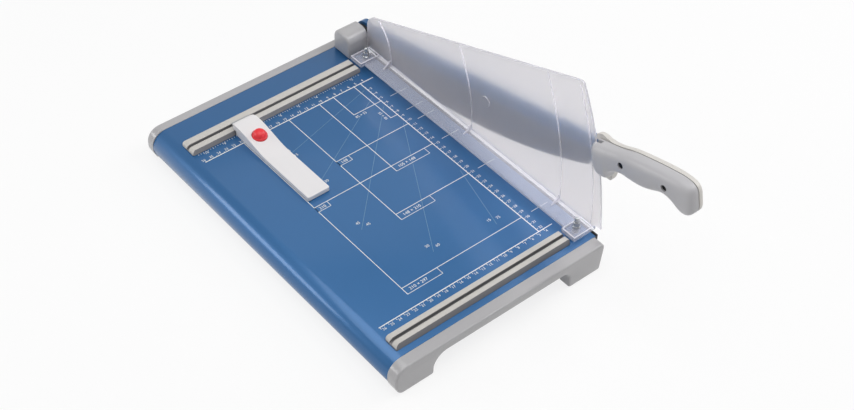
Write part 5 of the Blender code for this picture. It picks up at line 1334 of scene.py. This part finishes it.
    def smooth_sections(self) -> list[tuple[float, ...]]:
        """The sections with two more between each pair, on a smooth curve."""
        rows = self.sections
        fine = []
        for index in range(len(rows) - 1):
            before, one = rows[max(index - 1, 0)], rows[index]
            other, after = rows[index + 1], rows[min(index + 2, len(rows) - 1)]
            for part in range(3):
                t = part / 3
                row = []
                for a, b, c, d in zip(before, one, other, after):
                    bend = (2 * a - 5 * b + 4 * c - d) * t ** 2 + (3 * b - a - 3 * c + d) * t ** 3
                    row.append(b + 0.5 * ((c - a) * t + bend))
                fine.append(tuple(row))
        fine.append(rows[-1])
        return fine

    def handle(self, bench: Bench) -> None:
        """Both halves of the handle, with the rim slot, the tang's pocket and screw holes."""
        outer = self.face - self.near_width
        front = self.half(-1, self.handle_start, self.near_width, 0.0, 0.0)
        tall = self.handle_height + OVERRUN
        front = merged(front, Blend.CUT, block((*self.rim_slot, -tall),
                                               (FIT_GAP, -self.handle_start + OVERRUN, tall)))
        bore = stepped(self.screw_head, self.screw_bore, outer - OVERRUN,
                       outer + self.screw_sink, self.face + OVERRUN)
        screws = [(-reach, self.screw_height) for reach in self.screw_reaches]
        front = merged(front, Blend.CUT, *[turned(bore, Axis.X, centre, 32) for centre in screws])
        bench.piece("handle_near_half", front, HANDLE_PLASTIC, "arm", ["handle_front_half"],
                    edge=0.35, place=self.raised(), sharp=40)
        rear = self.half(1, self.handle_rear_start, self.far_width, self.far_bump, self.far_drop)
        pocket_low, pocket_top = self.tang_pocket
        rear = merged(rear, Blend.CUT,
                      block((self.face - OVERRUN, -(self.tang_end + WELD), pocket_low),
                            (self.face + self.web + FIT_GAP, -self.handle_rear_start + OVERRUN,
                             pocket_top)))
        rear = merged(rear, Blend.CUT, *[rod(Axis.X, centre, 2 * self.screw_bore,
                                             self.face - OVERRUN, self.face + self.screw_bite)
                                         for centre in screws])
        bench.piece("handle_far_half", rear, HANDLE_BACK_PLASTIC, "arm", ["handle_rear_half"],
                    edge=0.35, place=self.raised(), sharp=40)

    def build(self, bench: Bench) -> None:
        """Build every piece of the arm."""
        self.channel(bench)
        self.knife(bench)
        self.handle(bench)


@dataclass
class Gauge:
    """The white back gauge and its red release button."""

    width: float = 28.7
    front: float = -136.8
    back: float = 7.8
    front_height: float = 5.6
    waist: float = 5.2
    hump: float = 13.5
    waist_y: float = -60.0
    hump_y: float = -6.0
    wall: float = 2.2
    button_diameter: float = 17.6
    shoulder: float = 11.4
    button_top: float = 16.2
    button_low: float = 7.2
    low: float = 0.6
    over_rail: float = 6.4
    heel_y: float = -0.9
    back_round: float = 4.4
    plan_corners: tuple[float, ...] = (1.4, 2.0, 9.0, 4.0)
    top_round: float = 1.7
    front_pocket_end: float = -46.0
    rear_pocket_start: float = -15.3
    rear_pocket_top: float = 8.2
    well_floor: float = 2.2
    well_gap: float = 0.6
    dome_rise: float = 2.2

    def bar(self, bench: Bench) -> None:
        """The moulded bar, hollow below, rising into a hump over the rail."""
        rise = []
        steps = 24
        for step in range(steps + 1):
            share = step / steps
            y = self.waist_y + (self.hump_y - self.waist_y) * share
            rise.append((y, self.waist + (self.hump - self.waist) * share ** 2 * (3 - 2 * share),
                         0.0))
        side = [(self.front, self.low, 0), (self.front, self.front_height, 0.0), *rise,
                (self.back, self.hump, self.back_round), (self.back, self.over_rail, 0),
                (self.heel_y, self.over_rail, 0), (self.heel_y, self.low, 0)]
        half = self.width / 2
        left, right = BUTTON[0] - half, BUTTON[0] + half
        bm = slab(side, Axis.X, left, right, 8)
        places = ((left, self.front), (right, self.front), (right, self.back), (left, self.back))
        plan = [(*place, radius) for place, radius in zip(places, self.plan_corners)]
        bm = merged(bm, Blend.KEEP, slab(plan, Axis.Z, self.low - OVERRUN, self.hump + OVERRUN, 8))
        self.round_top(bm, self.top_round)
        inner = half - self.wall
        left, right = BUTTON[0] - inner, BUTTON[0] + inner
        bm = merged(bm, Blend.CUT,
                    block((left, self.front + self.wall, -OVERRUN),
                          (right, self.front_pocket_end, self.waist - self.wall)),
                    block((left, self.rear_pocket_start, -OVERRUN),
                          (right, self.back + OVERRUN, self.rear_pocket_top)))
        bm = merged(bm, Blend.CUT, rod(Axis.Z, BUTTON, self.button_diameter + self.well_gap,
                                       self.well_floor, self.button_top + OVERRUN, 64))
        bench.piece("gauge_moulding", bm, GAUGE_PLASTIC, "gauge", ["gauge_bar"], edge=0.3,
                    sharp=35)

    def round_top(self, bm: BMesh, radius: float) -> None:
        """Round the rim where the upright sides meet the top."""
        bm.normal_update()
        rim = []
        for edge in bm.edges:
            slopes = sorted(face.normal.z for face in edge.link_faces)
            if edge.is_convex and abs(slopes[0]) < 0.02 and slopes[-1] > 0.05:
                rim.append(edge)
        bmesh.ops.bevel(bm, geom=rim, offset=radius, affect="EDGES", segments=5, profile=0.5,
                        material=-1, clamp_overlap=True)

    def button(self, bench: Bench) -> None:
        """The domed button with a fine ring round its crown."""
        radius = self.button_diameter / 2
        dome = self.button_top - self.shoulder + self.dome_rise
        profile = [(0, self.button_low), (radius - 0.3, self.button_low),
                   (radius, self.button_low + 0.3), (radius, self.shoulder - 0.5),
                   (radius - 0.35, self.shoulder), (radius - 0.8, self.shoulder)]
        crown = radius - 1.0
        for step in range(1, 17):
            angle = pi / 2 * step / 17
            profile.append((crown * cos(angle), self.shoulder + dome * sin(angle)))
        profile.append((0, self.shoulder + dome))
        bench.piece("gauge_red_button", turned(profile, Axis.Z, BUTTON, 64),
                    BUTTON_PLASTIC, "button", ["gauge_button"], sharp=60)

    def build(self, bench: Bench) -> None:
        """Build the gauge and its button."""
        self.bar(bench)
        self.button(bench)


@dataclass(frozen=True)
class Coil:
    """A spring of round wire that its joint presses together."""

    name: str
    node: str
    body: str
    joint: str
    centre: Point
    foot: float
    top: float
    foot_diameter: float
    top_diameter: float
    keep: float
    wire: float = 0.6
    turns: int = 3

    def build(self, bench: Bench) -> None:
        """Screw the wire's section up round the spring's axis and draw it in to the top."""
        around, steps = 8, 28 * self.turns
        low, high = self.foot + self.wire / 2, self.top - self.wire / 2
        reach = (self.foot_diameter - self.wire) / 2
        bm = bmesh.new()
        section = Matrix.Translation((reach, 0, low)) @ Matrix.Rotation(pi / 2, 4, "X")
        bmesh.ops.create_circle(bm, segments=around, radius=self.wire / 2, matrix=section)
        bmesh.ops.spin(bm, geom=[*bm.verts, *bm.edges], cent=(0, 0, 0), axis=(0, 0, 1),
                       dvec=(0, 0, (high - low) / steps), angle=2 * pi * self.turns, steps=steps)
        bmesh.ops.holes_fill(bm, edges=bm.edges, sides=0)
        drawn_in = (self.foot_diameter - self.top_diameter) / 2
        for vert in bm.verts:
            risen = min(max((vert.co.z - low) / (high - low), 0.0), 1.0)
            flat = Vector((vert.co.x, vert.co.y))
            flat -= flat.normalized() * drawn_in * risen
            vert.co.x, vert.co.y = flat
        bmesh.ops.translate(bm, verts=bm.verts, vec=(*self.centre, 0))
        bmesh.ops.recalc_face_normals(bm, faces=bm.faces)
        made = bench.piece(self.name, bm, STEEL, self.body, [self.node], sharp=60)
        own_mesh(made)


COILS = (
    Coil("rear_clamp_coil", "clamp_spring_rear", "bed", "clamp_press", STUDS[0], 0.3, 6.2,
         9.0, 7.2, 0.23),
    Coil("front_clamp_coil", "clamp_spring_front", "bed", "clamp_press", STUDS[1], 0.3, 6.2,
         9.0, 7.2, 0.23),
    Coil("button_coil", "button_spring", "gauge", "gauge_button_press", BUTTON, 2.5, 6.9,
         8.0, 8.0, 0.55),
)


@dataclass
class Studio:
    """The floor, the lamps and the camera of the photograph's view."""

    camera_place: tuple[float, float, float] = (-885.098, -1128.734, 1175.920)
    heading_degrees: float = -40.35
    look_down_degrees: float = 44.59
    roll_degrees: float = 1.2457
    lens: float = 65.76
    sensor: float = 36.0
    floor_size: float = 12.0
    floor_white: float = 0.82
    room_light: float = 0.20
    room_mirrored: float = 0.50
    floor_colour: tuple[float, ...] = (0.86, 0.86, 0.86, 1.0)
    white: tuple[float, ...] = (1.0, 1.0, 1.0, 1.0)
    lamps: tuple[tuple[str, Corner, float, Point, float], ...] = (
        ("ceiling_box", (-0.15, -0.05, 1.0), 2.2, (2.2, 2.2), 30.0),
        ("window_box", (-0.75, 0.57, 0.36), 2.6, (1.6, 0.7), 16.0),
        ("right_box", (0.9, -0.2, 0.5), 2.6, (1.2, 1.2), 18.0),
        ("edge_box", (0.50, -0.35, 0.79), 2.6, (1.3, 0.35), 12.0),
        ("sheen_box", (0.905, 1.363, 1.537), 2.24, (1.20, 0.90), 1.6),
    )

    def seen(self, path: bpy.types.Node, *rays: str) -> bpy.types.NodeSocket:
        """A mask of what is looked at, straight and by some other kinds of ray.

        Args:
            path: a Light Path node.
            rays: its outputs for the other kinds.

        Returns:
            The mask.
        """
        mask = path.outputs["Is Camera Ray"]
        for ray in rays:
            mask = maths(path.id_data, "MAXIMUM", mask, path.outputs[ray])
        return mask

    def floor(self) -> None:
        """A pale floor that keeps the cutter's shadow."""
        bm = bmesh.new()
        bmesh.ops.create_grid(bm, x_segments=1, y_segments=1, size=self.floor_size / 2)
        made = shown("floor", mesh_of("floor", bm))
        paper = bpy.data.materials.new("floor_paper")
        tree = blank_tree(paper)
        matt = node(tree, "ShaderNodeBsdfDiffuse", Color=self.floor_colour)
        glow = node(tree, "ShaderNodeEmission", Color=self.white, Strength=1.0)
        path = node(tree, "ShaderNodeLightPath")
        looked_at = self.seen(path, "Is Glossy Ray", "Is Transmission Ray")
        share = maths(tree, "MULTIPLY", looked_at, self.floor_white)
        mix = node(tree, "ShaderNodeMixShader", None, (share, matt.outputs[0], glow.outputs[0]))
        node(tree, "ShaderNodeOutputMaterial", Surface=mix.outputs[0])
        made.data.materials.append(paper)

    def world(self) -> None:
        """Even soft light from all round, and a white background."""
        world = bpy.data.worlds.new("studio")
        bpy.context.scene.world = world
        tree = blank_tree(world)
        path = node(tree, "ShaderNodeLightPath")
        strength = node(tree, "ShaderNodeMapRange", Value=self.seen(path, "Is Transmission Ray"),
                        To_Min=self.room_light, To_Max=1.0)
        mirrored = maths(tree, "MULTIPLY_ADD", path.outputs["Is Glossy Ray"],
                         self.room_mirrored - self.room_light, strength.outputs[0])
        light = node(tree, "ShaderNodeBackground", Color=self.white, Strength=mirrored)
        node(tree, "ShaderNodeOutputWorld", Surface=light.outputs[0])

    def lamp(self, name: str, way: Sequence[float], distance: float, size: Point,
             power: float) -> None:
        """A soft box that looks at the middle of the cutter.

        Args:
            name: its name.
            way: the direction in which it hangs, seen from the cutter.
            distance: how far away it hangs, in metres.
            size: its width and height.
            power: its watts.
        """
        place = Vector(way).normalized() * distance
        light = bpy.data.lights.new(name, "AREA")
        light.shape = "RECTANGLE"
        light.size, light.size_y = size
        light.energy = power
        held = shown(name, light)
        held.location = place
        held.rotation_euler = (-place).to_track_quat("-Z", "Y").to_euler()

    def camera(self, bench: Bench) -> None:
        """The photograph's point of view."""
        view = bpy.data.cameras.new("photo_view")
        view.lens = self.lens
        view.sensor_width = self.sensor
        view.clip_end = 50.0
        held = shown("photo_view", view)
        turn = Matrix.Rotation(radians(self.heading_degrees), 4, "Z")
        tilt = Matrix.Rotation(radians(90 - self.look_down_degrees), 4, "X")
        roll = Matrix.Rotation(radians(self.roll_degrees), 4, "Z")
        place = bench.zero + Vector(self.camera_place) * MILLIMETRE
        held.matrix_world = Matrix.Translation(place) @ turn @ tilt @ roll
        bpy.context.scene.camera = held

    def build(self, bench: Bench) -> None:
        """Set up the studio."""
        bpy.context.scene.view_settings.view_transform = "Standard"
        self.floor()
        self.world()
        for lamp in self.lamps:
            self.lamp(*lamp)
        self.camera(bench)


def dress_nodes(bench: Bench) -> None:
    """Finish every node that stays as the frame holds it."""
    slots = {item["node"]: item["material_slot"] for item in bench.frame["record"]["subparts"]}
    for name in bench.frame["nodes"]:
        bench.dress_node(name, NODE_FINISHES.get(slots.get(name, "steel"), STEEL))


def main() -> None:
    """Load the frame, build the pieces around it and log each piece's face count."""
    logging.basicConfig(level=logging.INFO, format="%(message)s")
    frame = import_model()
    bench = Bench(frame)
    dress_nodes(bench)
    for part in (Bed(), PrintedScales(), Guard(), Arm(), Gauge(), *COILS):
        part.build(bench)
    Studio().build(bench)


if __name__ == "__main__":
    main()
